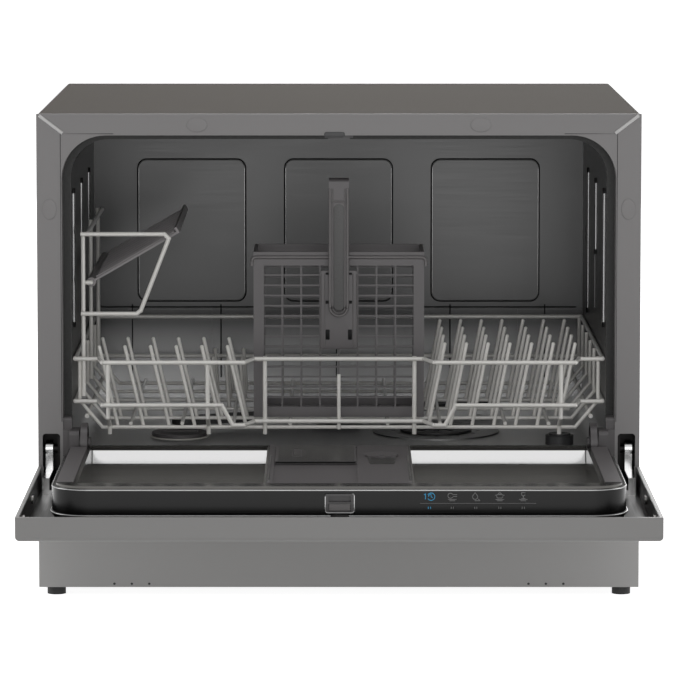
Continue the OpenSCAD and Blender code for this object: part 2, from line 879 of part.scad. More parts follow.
module spray_arm() {
  z0 = tub_floor + 7.4;
  color([0.2, 0.2, 0.21]) difference() {
    union() {
      along_z(z0, z0 + 6) union() {
        circle(26);
        for (side = [-1, 1]) {
          translate([side > 0 ? 0 : -arm_reach + 13, -13]) square([arm_reach - 13, 26]);
          translate([side * (arm_reach - 13), 0]) circle(13);
        }
      }
    }
    pipe_z(0, 0, z0 - 1, z0 + 7, 9 + run_gap);
    for (side = [-1, 1]) for (i = [0:4])
      pipe_z(side * (48 + i * 26), side * (i % 2 * 6 - 3), z0 + 3, z0 + 7, 2);
  }
}

module spray_arm_set() {
  translate([0, hub_y, 0]) rotate([0, 0, 24]) spray_arm();
}

module coarse_filter() {
  color([0.25, 0.25, 0.26]) difference() {
    union() {
      pipe_z(sump_x, sump_y, 70, tub_floor + 1.6, 30.6);
      pipe_z(sump_x, sump_y, tub_floor + 1.6, tub_floor + 3, 34);
      block(sump_x - 24, sump_x + 24, sump_y - 2, sump_y + 2, tub_floor + 3, tub_floor + 4.6);
    }
    pipe_z(sump_x, sump_y, 73, tub_floor - 2, 27);
    for (a = [0:45:315]) translate([sump_x, sump_y, 0]) rotate([0, 0, a])
      block(10, 22, -3, 3, tub_floor - 3, tub_floor + 3.5);
  }
}

module float_dome() {
  color([0.2, 0.2, 0.2]) {
    pipe_z(float_x, float_y, tub_floor + 0.4, tub_floor + 9, 13);
    pipe_z(float_x, float_y, tub_floor + 9, tub_floor + 10.5, 10);
  }
}

// ---- Rack ----

// The front wire of the rack at height z, with a dip in the middle. It is welded up from lengths
// that end where the door's inner wall and its recesses pass between them.
module front_wire(z, dip) {
  y = rack_front - bulge;
  low = z - dip;
  rod([-middle_end, rack_front, low], [middle_end, rack_front, low], wire_r);
  for (side = [-1, 1]) {
    rod([side * (side_end + weld_gap), rack_front, z], [side * rack_hw, rack_front, z], wire_r);
    bent_wire([[side * side_end, rack_front, z], [side * (bulge_out + bulge_run), rack_front, z],
      [side * bulge_out, y, z], [side * (bulge_in + 24), y, z]], wire_r);
    if (dip > 0) bent_wire([[side * (bulge_in + 24 - weld_gap), y, z], [side * (bulge_in + 20), y, z],
      [side * (bulge_in + 10), y, low], [side * bulge_in, y, low], [side * (bulge_in - 9), rack_front, low],
      [side * (middle_end + weld_gap), rack_front, low]], wire_r);
    else bent_wire([[side * (bulge_in + 24 - weld_gap), y, z], [side * bulge_in, y, z],
      [side * (bulge_in - 9), rack_front, z], [side * (middle_end + weld_gap), rack_front, z]], wire_r);
  }
}

// An upright behind the front wires that bends back to a foot on the floor
module front_upright(x, y) {
  yy = y + 2 * wire_r + weld_gap;
  bent_wire([[x, yy, rim_z + 1.5], [x, yy, mid_z - 12],
    [x, upright_y - 1.4 * wire_r - weld_gap, floor_z + 3.5]], wire_r);
  rod([x, upright_y, foot_z], [x, upright_y, floor_z + 4], wire_r);
}

module rack_frame() {
  color([0.78, 0.77, 0.73]) {
    front_wire(rim_z, 0);
    front_wire(mid_z, mid_z - 157);
    for (side = [-1, 1]) for (z = [rim_z, mid_z])
      rod([side * rack_hw, upright_y - wire_r + weld_gap, z], [side * rack_hw, rack_back + wire_r, z],
        wire_r);
    for (z = [rim_z, mid_z])
      rod([-rack_hw, rack_back + 2 * wire_r + weld_gap, z], [rack_hw, rack_back + 2 * wire_r + weld_gap, z],
        wire_r);
    for (x = [-211, -120, 203]) front_upright(x, rack_front - bulge);
    for (x = [-68, 69.5])
      rod([x, upright_y, foot_z], [x, upright_y, rim_z + 2], wire_r);
    rod([0, upright_y, floor_z - 1.5], [0, upright_y, 200], thin_r);
    for (side = [-1, 1])
      rod([side * runner_x, rack_front + 3, runner_z], [side * runner_x, rack_back, runner_z], wire_r);
  }
}

// A floor wire that rises on both sides to the rim, welded up from straight lengths and bends
module cross_wire(y) {
  floor_end = corner_x - 3;
  bend_top = mid_z + 3;
  rod([-floor_end, y, floor_z], [floor_end, y, floor_z], thin_r);
  for (side = [-1, 1]) {
    bent_wire([[side * (floor_end + weld_gap), y, floor_z], [side * corner_x, y, floor_z],
      [side * side_in, y, mid_z], [side * side_in, y, bend_top]], thin_r);
    rod([side * side_in, y, bend_top + weld_gap], [side * side_in, y, rim_z + 1.5], thin_r);
  }
}

module rack_floor() {
  long_z = floor_z + 2 * thin_r + weld_gap;
  color([0.78, 0.77, 0.73]) {
    for (y = floor_rows) cross_wire(y);
    for (x = concat([-45, 45], [for (k = [0.5, 2.5, 4.5]) tine_left + k * left_pitch],
      [for (k = [0.5, 3.5, 5.5]) tine_right + k * right_pitch + 0.8]))
      rod([x, floor_rows[0] - thin_r, long_z], [x, floor_rows[5] + thin_r, long_z], thin_r);
  }
}

module tine(x, y, len, lean) {
  yy = y + 2 * thin_r + weld_gap;
  translate([x, yy, floor_z - 1]) rotate([0, lean, 0]) {
    cylinder(h = len, r = thin_r, $fn = 16);
    translate([0, 0, len]) sphere(thin_r * 1.04, $fn = 14);
  }
}

module tines_left() {
  color([0.80, 0.79, 0.75]) {
    for (i = [0:1]) for (k = [0:5])
      tine(tine_left + k * left_pitch, floor_rows[i], 77, -tine_lean);
    for (i = [2:4]) for (k = [0:2])
      tine(-118 + k * 14, floor_rows[i], 42, -4);
  }
}

module tines_right() {
  color([0.80, 0.79, 0.75]) {
    for (i = [0:3]) for (k = [0:6])
      tine(tine_right + k * right_pitch, floor_rows[i], 79, tine_lean - 2);
  }
}

module cup_frame() {
  top = 329.5;
  low = 256;
  up_y = [floor_rows[0], floor_rows[2], floor_rows[4]];
  beside = cup_x + 2 * wire_r + weld_gap;
  loop_y = up_y[0] - 2 * wire_r - weld_gap;
  end_y = up_y[2] + 2 * wire_r + weld_gap;
  color([0.78, 0.77, 0.73]) {
    for (y = up_y) rod([cup_x, y, mid_z + 4], [cup_x, y, top + 1.5], wire_r);
    rod([beside, loop_y + wire_r + weld_gap, top], [beside, up_y[2] + wire_r, top], wire_r);
    bent_wire([[cup_x - 2, loop_y, top], [-160, loop_y, top], [-156, loop_y, top - 4],
      [-182, loop_y, low + 3], [-186, loop_y, low], [cup_x - 2, loop_y, low]], wire_r);
    bent_wire([[cup_x - 1, up_y[0] + 2 * wire_r + weld_gap, shelf_z],
      [shelf_x, up_y[0] + 2 * wire_r + weld_gap, shelf_z], [shelf_x, end_y, shelf_z],
      [cup_x - 1, end_y, shelf_z]], wire_r);
  }
}

// The cup shelf as it lies level, with its hinge line at the origin
module level_shelf() {
  difference() {
    union() {
      rotate([-90, 0, 0]) cylinder(h = shelf_y1 - shelf_y0, r = 4.2);
      difference() {
        block(2, shelf_w, 0, shelf_y1 - shelf_y0, -1, 1);
        for (i = [0:7]) for (k = [0:1])
          block(10 + k * 40, 44 + k * 40, 10 + i * 29, 28 + i * 29, -2, 2);
      }
      for (x = [shelf_w - 2.4]) block(x, shelf_w, 0, shelf_y1 - shelf_y0, -1, 5);
      for (i = [0:8]) block(6, shelf_w - 4, i * 29 + 3.5, i * 29 + 5.5, 0.9, 2.6);
    }
    translate([0, -1, 0]) rotate([-90, 0, 0]) cylinder(h = 300, r = wire_r + run_gap);
  }
}

module cup_shelf() {
  color([0.2, 0.2, 0.21]) translate([shelf_x, shelf_y0, shelf_z]) rotate([0, -shelf_tilt, 0])
    level_shelf();
}

// A wall of the basket with rows of windows, drawn flat
module window_wall(w, h, columns, rows, edge) {
  pitch_x = (w - 2 * edge) / columns;
  pitch_y = (h - 2 * edge) / rows;
  difference() {
    square([w, h]);
    for (i = [0:columns - 1]) for (j = [0:rows - 1])
      translate([edge + i * pitch_x + 0.7, edge + j * pitch_y + 0.7])
        square([pitch_x - 1.4, pitch_y - 1.4]);
  }
}

// The basket's walls, floor and rim bars stand a weld gap apart, so each stays a plain plate
module cutlery_basket() {
  hw = basket_w / 2;
  z0 = basket_z;
  z1 = basket_z + basket_h;
  y1 = basket_y + basket_d;
  in_hw = hw - basket_t - weld_gap;
  in_y = basket_y + basket_t + weld_gap;
  in_d = basket_d - 2 * (basket_t + weld_gap);
  color([0.20, 0.19, 0.20]) {
    for (y = [basket_y, y1 - basket_t]) translate([-hw, y + basket_t, z0]) rotate([90, 0, 0])
      linear_extrude(basket_t) window_wall(basket_w, basket_h, 8, 14, 9);
    for (x = [-hw, hw - basket_t]) translate([x, in_y, z0]) rotate([90, 0, 90])
      linear_extrude(basket_t) window_wall(in_d, basket_h, 3, 10, 8);
    translate([-in_hw, in_y, z0]) linear_extrude(basket_t) window_wall(2 * in_hw, in_d, 8, 4, 3);
    for (y = [basket_y, y1 - basket_rim])
      block(-hw, hw, y, y + basket_rim, z1 + weld_gap, z1 + basket_rim);
    for (side = [-1, 1]) on_side(side)
      block(hw - basket_rim, hw, basket_y + basket_rim + weld_gap, y1 - basket_rim - weld_gap,
        z1 + weld_gap, z1 + basket_rim);
  }
}

module cutlery_handle() {
  z0 = basket_z;
  top = basket_z + handle_h;
  color([0.19, 0.18, 0.19]) {
    difference() {
      block(-17, 17, basket_y - 2, basket_y, z0 + 80, z0 + 110);
      for (side = [-1, 1]) on_side(side)
        block(8, 11.5, basket_y - 3, basket_y + 1, z0 + 90, z0 + 99);
    }
    difference() {
      union() {
        along_x(-9.2, 9.2) {
          round_rect(basket_y - 12, basket_y, z0 + 102, top, 4);
        }
      }
      block(-6, 6, basket_y - 9, basket_y + 1, z0 + 124, top - 10);
    }
  }
}

seated() cabinet_wrap();
seated() front_frame();
seated() base_panel();
seated() base_tray();
seated() feet();
seated() rear_panel();
seated() rear_screws();
seated() tub();
seated() door_gasket();
seated() sill_seal();
seated() latch_catch();
seated() sump();
seated() fine_filter();
seated() wash_pump();
seated() circulation_pipe();
seated() water_heater();
seated() drain_pump();
seated() drain_hose();
seated() drain_spigot();
seated() softener();
seated() inlet_valve();
seated() inlet_hose();
seated() air_break();
seated() power_board();
seated() mains_gland();
seated() hinge_bracket_left();
seated() hinge_bracket_right();
seated() door_spring_left();
seated() door_spring_right();
seated() roller_bracket_left();
seated() roller_bracket_right();
seated() spray_hub();
seated() door_panel();
seated() door_liner();
seated() control_strip();
seated() control_board();
seated() dispenser_body();
seated() latch_housing();
seated() rail_left();
seated() rail_right();
seated() hinge_arm_left();
seated() hinge_arm_right();
seated() door_screws();
seated() latch_tongue();
seated() detergent_lid();
seated() rinse_aid_cap();
seated() spray_arm_set();  // spray_arm
seated() coarse_filter();
seated() salt_cap();
seated() float_dome();
seated() roller_left();
seated() roller_right();
seated() rack_frame();
seated() rack_floor();
seated() tines_left();
seated() tines_right();
seated() cup_frame();
seated() cup_shelf();
seated() cutlery_basket();
seated() cutlery_handle();
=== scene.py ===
"""Looks of a countertop dishwasher with its door open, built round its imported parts.

Lengths are in metres in the frame of the parts: +X to the right, +Y to the back of the case,
+Z up, with the origin under the middle of the footprint. Fields that end in _mm are millimetres
measured from the front frame, as the parts' own source gives them.
"""

import logging
import math
from dataclasses import dataclass
from enum import Enum
from typing import Iterable, Sequence

import bmesh
import bpy
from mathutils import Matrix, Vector


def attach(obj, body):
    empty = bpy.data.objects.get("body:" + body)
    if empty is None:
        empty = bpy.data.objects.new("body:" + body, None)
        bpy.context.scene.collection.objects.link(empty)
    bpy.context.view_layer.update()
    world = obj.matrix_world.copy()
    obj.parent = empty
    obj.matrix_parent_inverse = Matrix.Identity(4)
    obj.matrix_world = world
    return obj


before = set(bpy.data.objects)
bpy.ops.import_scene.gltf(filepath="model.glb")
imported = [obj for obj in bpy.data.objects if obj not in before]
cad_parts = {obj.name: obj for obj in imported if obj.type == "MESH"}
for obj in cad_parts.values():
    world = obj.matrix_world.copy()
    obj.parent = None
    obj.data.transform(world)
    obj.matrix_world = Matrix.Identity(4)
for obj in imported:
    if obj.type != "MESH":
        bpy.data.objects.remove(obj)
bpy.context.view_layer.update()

LOG = logging.getLogger("dishwasher")
MM = 0.001
MIDDLE_Y_MM = 90.0
PHOTO_PX = 680
SOFT_ANGLE_DEG = 50.0

Point = tuple[float, float, float]
Flat = tuple[float, float]
Colour = tuple[float, float, float]

SIDES: tuple[tuple[int, str], ...] = ((-1, "left"), (1, "right"))


def at(x: float, y: float, z: float) -> Vector:
    """A point given in millimetres from the front frame, in the parts' frame.

    Args:
        x: Distance to the right of the middle.
        y: Distance behind the front frame.
        z: Height above the worktop.

    Returns:
        The point in metres.
    """
    return Vector((x * MM, (y - MIDDLE_Y_MM) * MM, z * MM))


def step(x: float, y: float, z: float) -> Vector:
    """A step given in millimetres, in metres."""
    return Vector((x * MM, y * MM, z * MM))


def standing(outline: Iterable[Flat], y: float) -> list[Vector]:
    """An outline in x and z, stood up at a distance behind the front frame."""
    return [at(x, y, z) for x, z in outline]


def lying(outline: Iterable[Flat], z: float) -> list[Vector]:
    """An outline in x and y, laid level at a height."""
    return [at(x, y, z) for x, y in outline]


def add_object(name: str, data: bpy.types.ID) -> bpy.types.Object:
    """Adds an object to the scene.

    Args:
        name: The object's name.
        data: Its mesh, lamp or camera.

    Returns:
        The object.
    """
    made = bpy.data.objects.new(name, data)
    bpy.context.scene.collection.objects.link(made)
    return made


def linear(level: int) -> float:
    """One sRGB level from 0 to 255 as a linear value."""
    share = level / 255
    return share / 12.92 if share <= 0.04045 else ((share + 0.055) / 1.055) ** 2.4


def srgb(red: int, green: int, blue: int) -> Colour:
    """A colour given in sRGB levels, as linear values."""
    return (linear(red), linear(green), linear(blue))


# ---- Finishes ----


class Grain(Enum):
    """The way a sheet was brushed or rolled, as the scale of its noise along each axis."""

    ALONG_X = (14.0, 900.0, 900.0)
    ALONG_Y = (900.0, 14.0, 900.0)
    EVEN = (700.0, 700.0, 700.0)


# The range that holds nearly all of a noise's values.
NOISE_LOW, NOISE_HIGH = 0.3, 0.7
# The places of a colour mix's sockets among its inputs and outputs.
MIX_FACTOR, MIX_FIRST, MIX_SECOND, MIX_RESULT = 0, 6, 7, 2


class ShaderSheet:
    """A material's node tree, with short calls to fill it."""

    def __init__(self, name: str) -> None:
        """Starts a material with one Principled shader.

        Args:
            name: The material's name.
        """
        self.material = bpy.data.materials.new(name)
        self.material.use_nodes = True
        self.tree = self.material.node_tree
        self.shader = self.tree.nodes["Principled BSDF"]

    def add(self, kind: str, **inputs: object) -> bpy.types.Node:
        """Adds a node and sets its inputs by name, with spaces as underscores.

        Args:
            kind: The node's type.
            **inputs: Values, or sockets to link from.

        Returns:
            The node.
        """
        node = self.tree.nodes.new(kind)
        for key, value in inputs.items():
            self.feed(node.inputs[key.replace("_", " ")], value)
        return node

    def feed(self, socket: bpy.types.NodeSocket, value: object) -> None:
        """Links a socket to another one, or gives it a value.

        Args:
            socket: The input to feed.
            value: A value, or an output socket.
        """
        if isinstance(value, bpy.types.NodeSocket):
            self.tree.links.new(value, socket)
        else:
            socket.default_value = value

    def set(self, name: str, value: object) -> None:
        """Feeds one input of the Principled shader."""
        self.feed(self.shader.inputs[name], value)

    def place(self, scale: Sequence[float]) -> bpy.types.NodeSocket:
        """Object coordinates, stretched along each axis.

        Args:
            scale: The scale along each axis.

        Returns:
            The socket with the coordinates.
        """
        where = self.add("ShaderNodeTexCoord")
        mapping = self.add("ShaderNodeMapping", Vector=where.outputs["Object"])
        mapping.inputs["Scale"].default_value = scale
        return mapping.outputs["Vector"]

    def noise(self, scale: Sequence[float], detail: float = 3.0) -> bpy.types.NodeSocket:
        """A noise value between 0 and 1 over stretched object coordinates."""
        node = self.add("ShaderNodeTexNoise", Vector=self.place(scale), Scale=1.0, Detail=detail)
        return node.outputs["Fac"]

    def between(self, fac: bpy.types.NodeSocket, low: float, high: float) -> bpy.types.NodeSocket:
        """Spreads the middle of a noise over a range of values.

        Args:
            fac: The noise.
            low: The value where the noise is low.
            high: The value where it is high.

        Returns:
            The socket with the value.
        """
        return self.add("ShaderNodeMapRange", Value=fac, From_Min=NOISE_LOW, From_Max=NOISE_HIGH,
                        To_Min=low, To_Max=high).outputs["Result"]

    def blend(self, fac: bpy.types.NodeSocket, first: Colour, second: Colour) -> bpy.types.NodeSocket:
        """Mixes two colours by a value.

        Args:
            fac: The share of the second colour.
            first: The first colour.
            second: The second colour.

        Returns:
            The socket with the colour.
        """
        node = self.add("ShaderNodeMix")
        node.data_type = "RGBA"
        self.feed(node.inputs[MIX_FACTOR], fac)
        self.feed(node.inputs[MIX_FIRST], (*first, 1.0))
        self.feed(node.inputs[MIX_SECOND], (*second, 1.0))
        return node.outputs[MIX_RESULT]

    def relief(self, height: bpy.types.NodeSocket, depth: float, strength: float = 1.0) -> None:
        """Bumps the surface by a height map of a depth in metres."""
        bump = self.add("ShaderNodeBump", Height=height, Distance=depth, Strength=strength)
        self.set("Normal", bump.outputs["Normal"])


def even(scale: float) -> Point:
    """One scale along all three axes."""
    return (scale, scale, scale)


@dataclass(frozen=True)
class Tint:
    """A slow drift of a colour: its scale along each axis, and its reach to each side as a share."""

    scale: Point
    spread: float


@dataclass(frozen=True)
class Texture:
    """A fine texture: its noise, how far it moves the roughness, and its relief in metres."""

    scale: Point
    detail: float
    below: float
    above: float
    depth: float = 0.0
    strength: float = 1.0


@dataclass(frozen=True)
class Finish:
    """What every finish has: a name, its colour and how glossy it is."""

    name: str
    colour: Colour
    roughness: float = 0.5

    def material(self) -> bpy.types.Material:
        """Builds the material once, and then gives the same one.

        Returns:
            The material.
        """
        full_name = f"{self.name}_finish"
        made = bpy.data.materials.get(full_name)
        if made is None:
            sheet = ShaderSheet(full_name)
            self.fill(sheet)
            made = sheet.material
        return made

    def fill(self, sheet: ShaderSheet) -> None:
        """Fills the node tree; each kind of finish has its own way."""
        raise NotImplementedError

    def tinted(self, sheet: ShaderSheet, tint: Tint) -> None:
        """Sets a colour that varies a little over the surface.

        Args:
            sheet: The node tree to fill.
            tint: How the colour drifts.
        """
        dark = tuple(c * (1 - tint.spread) for c in self.colour)
        light = tuple(min(c * (1 + tint.spread), 1.0) for c in self.colour)
        sheet.set("Base Color", sheet.blend(sheet.noise(tint.scale), dark, light))

    def textured(self, sheet: ShaderSheet, texture: Texture) -> bpy.types.NodeSocket:
        """Lets one texture drive the roughness and the relief.

        Args:
            sheet: The node tree to fill.
            texture: The texture.

        Returns:
            The socket with the texture's noise.
        """
        noise = sheet.noise(texture.scale, texture.detail)
        low, high = self.roughness - texture.below, self.roughness + texture.above
        sheet.set("Roughness", sheet.between(noise, low, high))
        if texture.depth > 0:
            sheet.relief(noise, texture.depth, texture.strength)
        return noise


@dataclass(frozen=True)
class PaintedSteel(Finish):
    """Satin grey paint with a fine grain and a little metal flake."""

    metallic: float = 0.35
    coat: float = 0.12
    specular: float = 0.5
    coat_roughness: float = 0.3
    cloud: Tint = Tint(even(6.0), 0.025)
    grain: Texture = Texture(even(2600.0), 2.0, 0.05, 0.05, 0.00003, 0.35)

    def fill(self, sheet: ShaderSheet) -> None:
        """Sets a fine even grain with faint cloudiness under it.

        Args:
            sheet: The node tree to fill.
        """
        self.tinted(sheet, self.cloud)
        self.textured(sheet, self.grain)
        sheet.set("Metallic", self.metallic)
        sheet.set("Specular IOR Level", self.specular)
        sheet.set("Coat Weight", self.coat)
        sheet.set("Coat Roughness", self.coat_roughness)


@dataclass(frozen=True)
class BrushedSteel(Finish):
    """Stainless or zinc plated sheet with fine lines along its grain."""

    grain: Grain = Grain.ALONG_X
    depth: float = 0.00002
    strength: float = 0.15
    detail: float = 4.0
    gloss_spread: float = 0.03
    tint_spread: float = 0.04

    def fill(self, sheet: ShaderSheet) -> None:
        """Sets the lines in colour, gloss and relief.

        Args:
            sheet: The node tree to fill.
        """
        scale, spread = self.grain.value, self.gloss_spread
        self.tinted(sheet, Tint(scale, self.tint_spread))
        self.textured(sheet, Texture(scale, self.detail, spread, spread, self.depth, self.strength))
        sheet.set("Metallic", 1.0)


@dataclass(frozen=True)
class BrightPlate(Finish):
    """Polished plate with faint smears in its gloss."""

    cloud: Tint = Tint(even(40.0), 0.02)
    smear: Texture = Texture((120.0, 40.0, 120.0), 3.0, 0.0, 0.05)

    def fill(self, sheet: ShaderSheet) -> None:
        """Sets a mirror with slightly uneven gloss.

        Args:
            sheet: The node tree to fill.
        """
        self.tinted(sheet, self.cloud)
        self.textured(sheet, self.smear)
        sheet.set("Metallic", 1.0)


@dataclass(frozen=True)
class MouldedPlastic(Finish):
    """Moulded plastic with the fine texture of its mould."""

    cloud: Tint = Tint(even(18.0), 0.05)
    pebble: Texture = Texture(even(1700.0), 2.0, 0.04, 0.06, 0.00006, 0.5)

    def fill(self, sheet: ShaderSheet) -> None:
        """Sets a pebbled surface and a little colour drift."""
        self.tinted(sheet, self.cloud)
        self.textured(sheet, self.pebble)


@dataclass(frozen=True)
class SoftRubber(Finish):
    """Dull rubber with a dusty bloom."""

    sheen: float = 0.15
    mottle: Tint = Tint(even(60.0), 0.18)
    bloom: Texture = Texture(even(420.0), 4.0, 0.06, 0.08, 0.00008, 0.5)

    def fill(self, sheet: ShaderSheet) -> None:
        """Sets a mottled dull surface.

        Args:
            sheet: The node tree to fill.
        """
        self.tinted(sheet, self.mottle)
        self.textured(sheet, self.bloom)
        sheet.set("Sheen Weight", self.sheen)


@dataclass(frozen=True)
class CoatedWire(Finish):
    """The thick plastic coat of a dish rack's wire."""

    coat: float = 0.6
    coat_roughness: float = 0.12
    cloud: Tint = Tint(even(70.0), 0.04)
    peel: Texture = Texture(even(800.0), 2.0, 0.05, 0.05, 0.00005, 0.3)

    def fill(self, sheet: ShaderSheet) -> None:
        """Sets a smooth coat with soft orange peel.

        Args:
            sheet: The node tree to fill.
        """
        self.tinted(sheet, self.cloud)
        self.textured(sheet, self.peel)
        sheet.set("Coat Weight", self.coat)
        sheet.set("Coat Roughness", self.coat_roughness)


@dataclass(frozen=True)
class TubSheet(Finish):
    """Satin stainless sheet with fine level lines, with painted light that lifts its tone towards the
    tub's foot.
    """

    foot_mm: float = 130.0
    foot_rise_mm: float = 75.0
    painted_foot_light: float = 6.5
    line_shade: float = 0.95
    lines: Texture = Texture(Grain.ALONG_X.value, 3.0, 0.03, 0.03, 0.00002, 0.12)

    def fill(self, sheet: ShaderSheet) -> None:
        """Sets one tone that painted light lifts towards the foot, with the lines in gloss and relief.

        Args:
            sheet: The node tree to fill.
        """
        noise = self.textured(sheet, self.lines)
        dark = tuple(c * self.line_shade for c in self.colour)
        # Painted light: near the tub's foot the colour is multiplied by up to painted_foot_light, fading
        # back to 1 over foot_rise_mm.
        where = sheet.add("ShaderNodeTexCoord")
        split = sheet.add("ShaderNodeSeparateXYZ", Vector=where.outputs["Object"])
        rise = sheet.add("ShaderNodeMapRange", Value=split.outputs["Z"], From_Min=self.foot_mm * MM,
                         From_Max=(self.foot_mm + self.foot_rise_mm) * MM,
                         To_Min=self.painted_foot_light, To_Max=1.0)
        lift = sheet.add("ShaderNodeVectorMath", Vector=sheet.blend(noise, dark, self.colour))
        lift.operation = "SCALE"
        sheet.feed(lift.inputs["Scale"], rise.outputs["Result"])
        sheet.set("Base Color", lift.outputs["Vector"])
        sheet.set("Metallic", 1.0)


@dataclass(frozen=True)
class CircuitBoard(Finish):
    """Green lacquered board with a pattern of tracks."""

    track_scale: float = 60.0
    track_rows: float = 5.0
    shade: float = 0.8
    light: float = 2.2

    def fill(self, sheet: ShaderSheet) -> None:
        """Sets lighter tracks in the lacquer.

        Args:
            sheet: The node tree to fill.
        """
        place = sheet.place(even(self.track_scale))
        tracks = sheet.add("ShaderNodeTexBrick", Vector=place, Scale=self.track_rows)
        for name, share in (("Color1", 1.0), ("Color2", self.shade), ("Mortar", self.light)):
            tone = (min(c * share, 1.0) for c in self.colour)
            sheet.feed(tracks.inputs[name], (*tone, 1.0))
        sheet.set("Base Color", tracks.outputs["Color"])
        sheet.set("Roughness", self.roughness)


@dataclass(frozen=True)
class PrintedMark(Finish):
    """Printed or backlit mark on the control strip."""

    glow: float = 0.0
    ink: Tint = Tint(even(300.0), 0.06)

    def fill(self, sheet: ShaderSheet) -> None:
        """Sets an even ink with a faint glow: a lit mark's own light, and painted light on printed marks.

        Args:
            sheet: The node tree to fill.
        """
        self.tinted(sheet, self.ink)
        sheet.set("Roughness", self.roughness)
        sheet.set("Emission Color", (*self.colour, 1.0))
        sheet.set("Emission Strength", self.glow)


# Painted shade: the case's top and sides wear a darker copy of the frame's grey paint, for the lesser
# light that falls on them.
SHADED_CASE_PAINT = PaintedSteel("case_paint", srgb(87, 83, 79), 0.8, 0.0, 0.0, 0.03)
FRAME_PAINT = PaintedSteel("frame_paint", srgb(123, 121, 121), 0.5, 0.1)
# Painted highlight: the corner ridges wear a much lighter copy of the frame's grey paint, for the bright
# lines along them.
RIDGE_HIGHLIGHT_PAINT = PaintedSteel("painted_ridge_highlight", srgb(196, 195, 194), 0.4, 0.1)
PLUG_PAINT = PaintedSteel("plug_paint", srgb(120, 118, 118), 0.45, 0.1)
TRAY_PAINT = PaintedSteel("tray_paint", srgb(129, 128, 127), 0.5, 0.1)
# Painted light: the base panel wears a lighter copy of the grey paint, to offset the shade under the open
# door.
LIT_BASE_PAINT = PaintedSteel("lit_base_paint", srgb(176, 175, 174), 0.5, 0.1)
TRAY_INSIDE = BrushedSteel("tray_inside", srgb(70, 69, 68), 0.34, Grain.ALONG_Y)
REAR_SHEET = BrushedSteel("rear_sheet", srgb(120, 120, 118), 0.45, Grain.EVEN)
# Painted reflection: the tub's steel is set darker than bare stainless, for the dark surroundings that
# its walls reflect. Its lift towards the foot is painted light.
TUB_STEEL = TubSheet("tub_steel", srgb(80, 80, 80), 0.34)
FILTER_STEEL = BrushedSteel("filter_steel", srgb(110, 110, 110), 0.3, Grain.EVEN)
# Painted highlight: the side walls' beads wear a lighter copy of the tub's steel.
BEAD_HIGHLIGHT_STEEL = BrightPlate("painted_bead_highlight", srgb(150, 150, 150), 0.2)
# Painted shade: a near-black tone for the tub's grooves, the beads' ends, the lid's gap and the basket's
# clip slots; it also draws the case's fine seams.
GROOVE_SHADE = BrushedSteel("groove_shade", srgb(26, 26, 26), 0.45, Grain.EVEN)
# Painted highlight: lighter steel along the inner edge of each panel groove and under the ledge line.
GROOVE_HIGHLIGHT = BrightPlate("painted_groove_highlight", srgb(150, 150, 150), 0.22)
LINER_STEEL = BrushedSteel("liner_steel", srgb(84, 83, 81), 0.2, Grain.ALONG_X)
RAMP_STEEL = BrushedSteel("ramp_steel", srgb(140, 140, 140), 0.12, Grain.ALONG_X)
STRIP_PRINT = BrushedSteel("strip_print", srgb(40, 40, 40), 0.24, Grain.ALONG_X)
# Painted highlight: lighter steel for the lines along the inner door's rim and beside the dispenser.
EDGE_HIGHLIGHT = BrightPlate("painted_edge_highlight", srgb(150, 150, 150), 0.2)
# Painted highlight: lighter steel for the line along the inner door's foot.
FOOT_HIGHLIGHT = BrightPlate("painted_foot_highlight", srgb(128, 128, 128), 0.2)
SEAL_RUBBER = SoftRubber("seal_rubber", srgb(28, 28, 27), 0.62)
FOOT_RUBBER = SoftRubber("foot_rubber", srgb(34, 34, 34), 0.7)
DARK_PLASTIC = MouldedPlastic("dark_plastic", srgb(76, 73, 74), 0.42)
LID_PLASTIC = MouldedPlastic("lid_plastic", srgb(44, 43, 42), 0.3)
RIB_PLASTIC = MouldedPlastic("rib_plastic", srgb(108, 105, 105), 0.36)
FLAP_PLASTIC = MouldedPlastic("flap_plastic", srgb(76, 73, 74), 0.36)
BASKET_PLASTIC = MouldedPlastic("basket_plastic", srgb(96, 93, 94), 0.4)
SHELF_PLASTIC = MouldedPlastic("shelf_plastic", srgb(134, 130, 131), 0.38)
LATCH_PLASTIC = MouldedPlastic("latch_plastic", srgb(66, 64, 65), 0.4)
TONGUE_PLASTIC = MouldedPlastic("tongue_plastic", srgb(104, 101, 101), 0.36)
BLACK_PLASTIC = MouldedPlastic("black_plastic", srgb(46, 46, 47), 0.45)
WHITE_PLASTIC = MouldedPlastic("white_plastic", srgb(200, 198, 192), 0.42)
GREY_HOSE = SoftRubber("grey_hose", srgb(96, 96, 94), 0.55)
RACK_COAT = CoatedWire("rack_coat", srgb(240, 238, 233), 0.34)
TINE_COAT = CoatedWire("tine_coat", srgb(238, 236, 231), 0.36)
ZINC_PLATE = BrushedSteel("zinc_plate", srgb(150, 150, 147), 0.32, Grain.EVEN, 0.00001)
SCREW_ZINC = BrushedSteel("screw_zinc", srgb(116, 115, 113), 0.35, Grain.EVEN, 0.00001)
HINGE_PLATE = BrightPlate("hinge_plate", srgb(196, 196, 196), 0.16)
# Painted shade: the hinge brackets and the latch's notch are coloured near black for the shade in the
# slots round them.
HINGE_SHADE = BrushedSteel("hinge_shade", srgb(34, 33, 33), 0.4, Grain.EVEN)
OUTLINE_PLATE = BrightPlate("outline_plate", srgb(176, 176, 176), 0.18)
BOARD_LACQUER = CircuitBoard("board_lacquer", srgb(20, 84, 52), 0.35)
BLUE_MARK = PrintedMark("blue_mark", srgb(54, 140, 180), 0.5, 0.35)
# The grey marks are print; their faint glow is painted light.
GREY_MARK = PrintedMark("grey_mark", srgb(130, 130, 130), 0.5, 0.03)


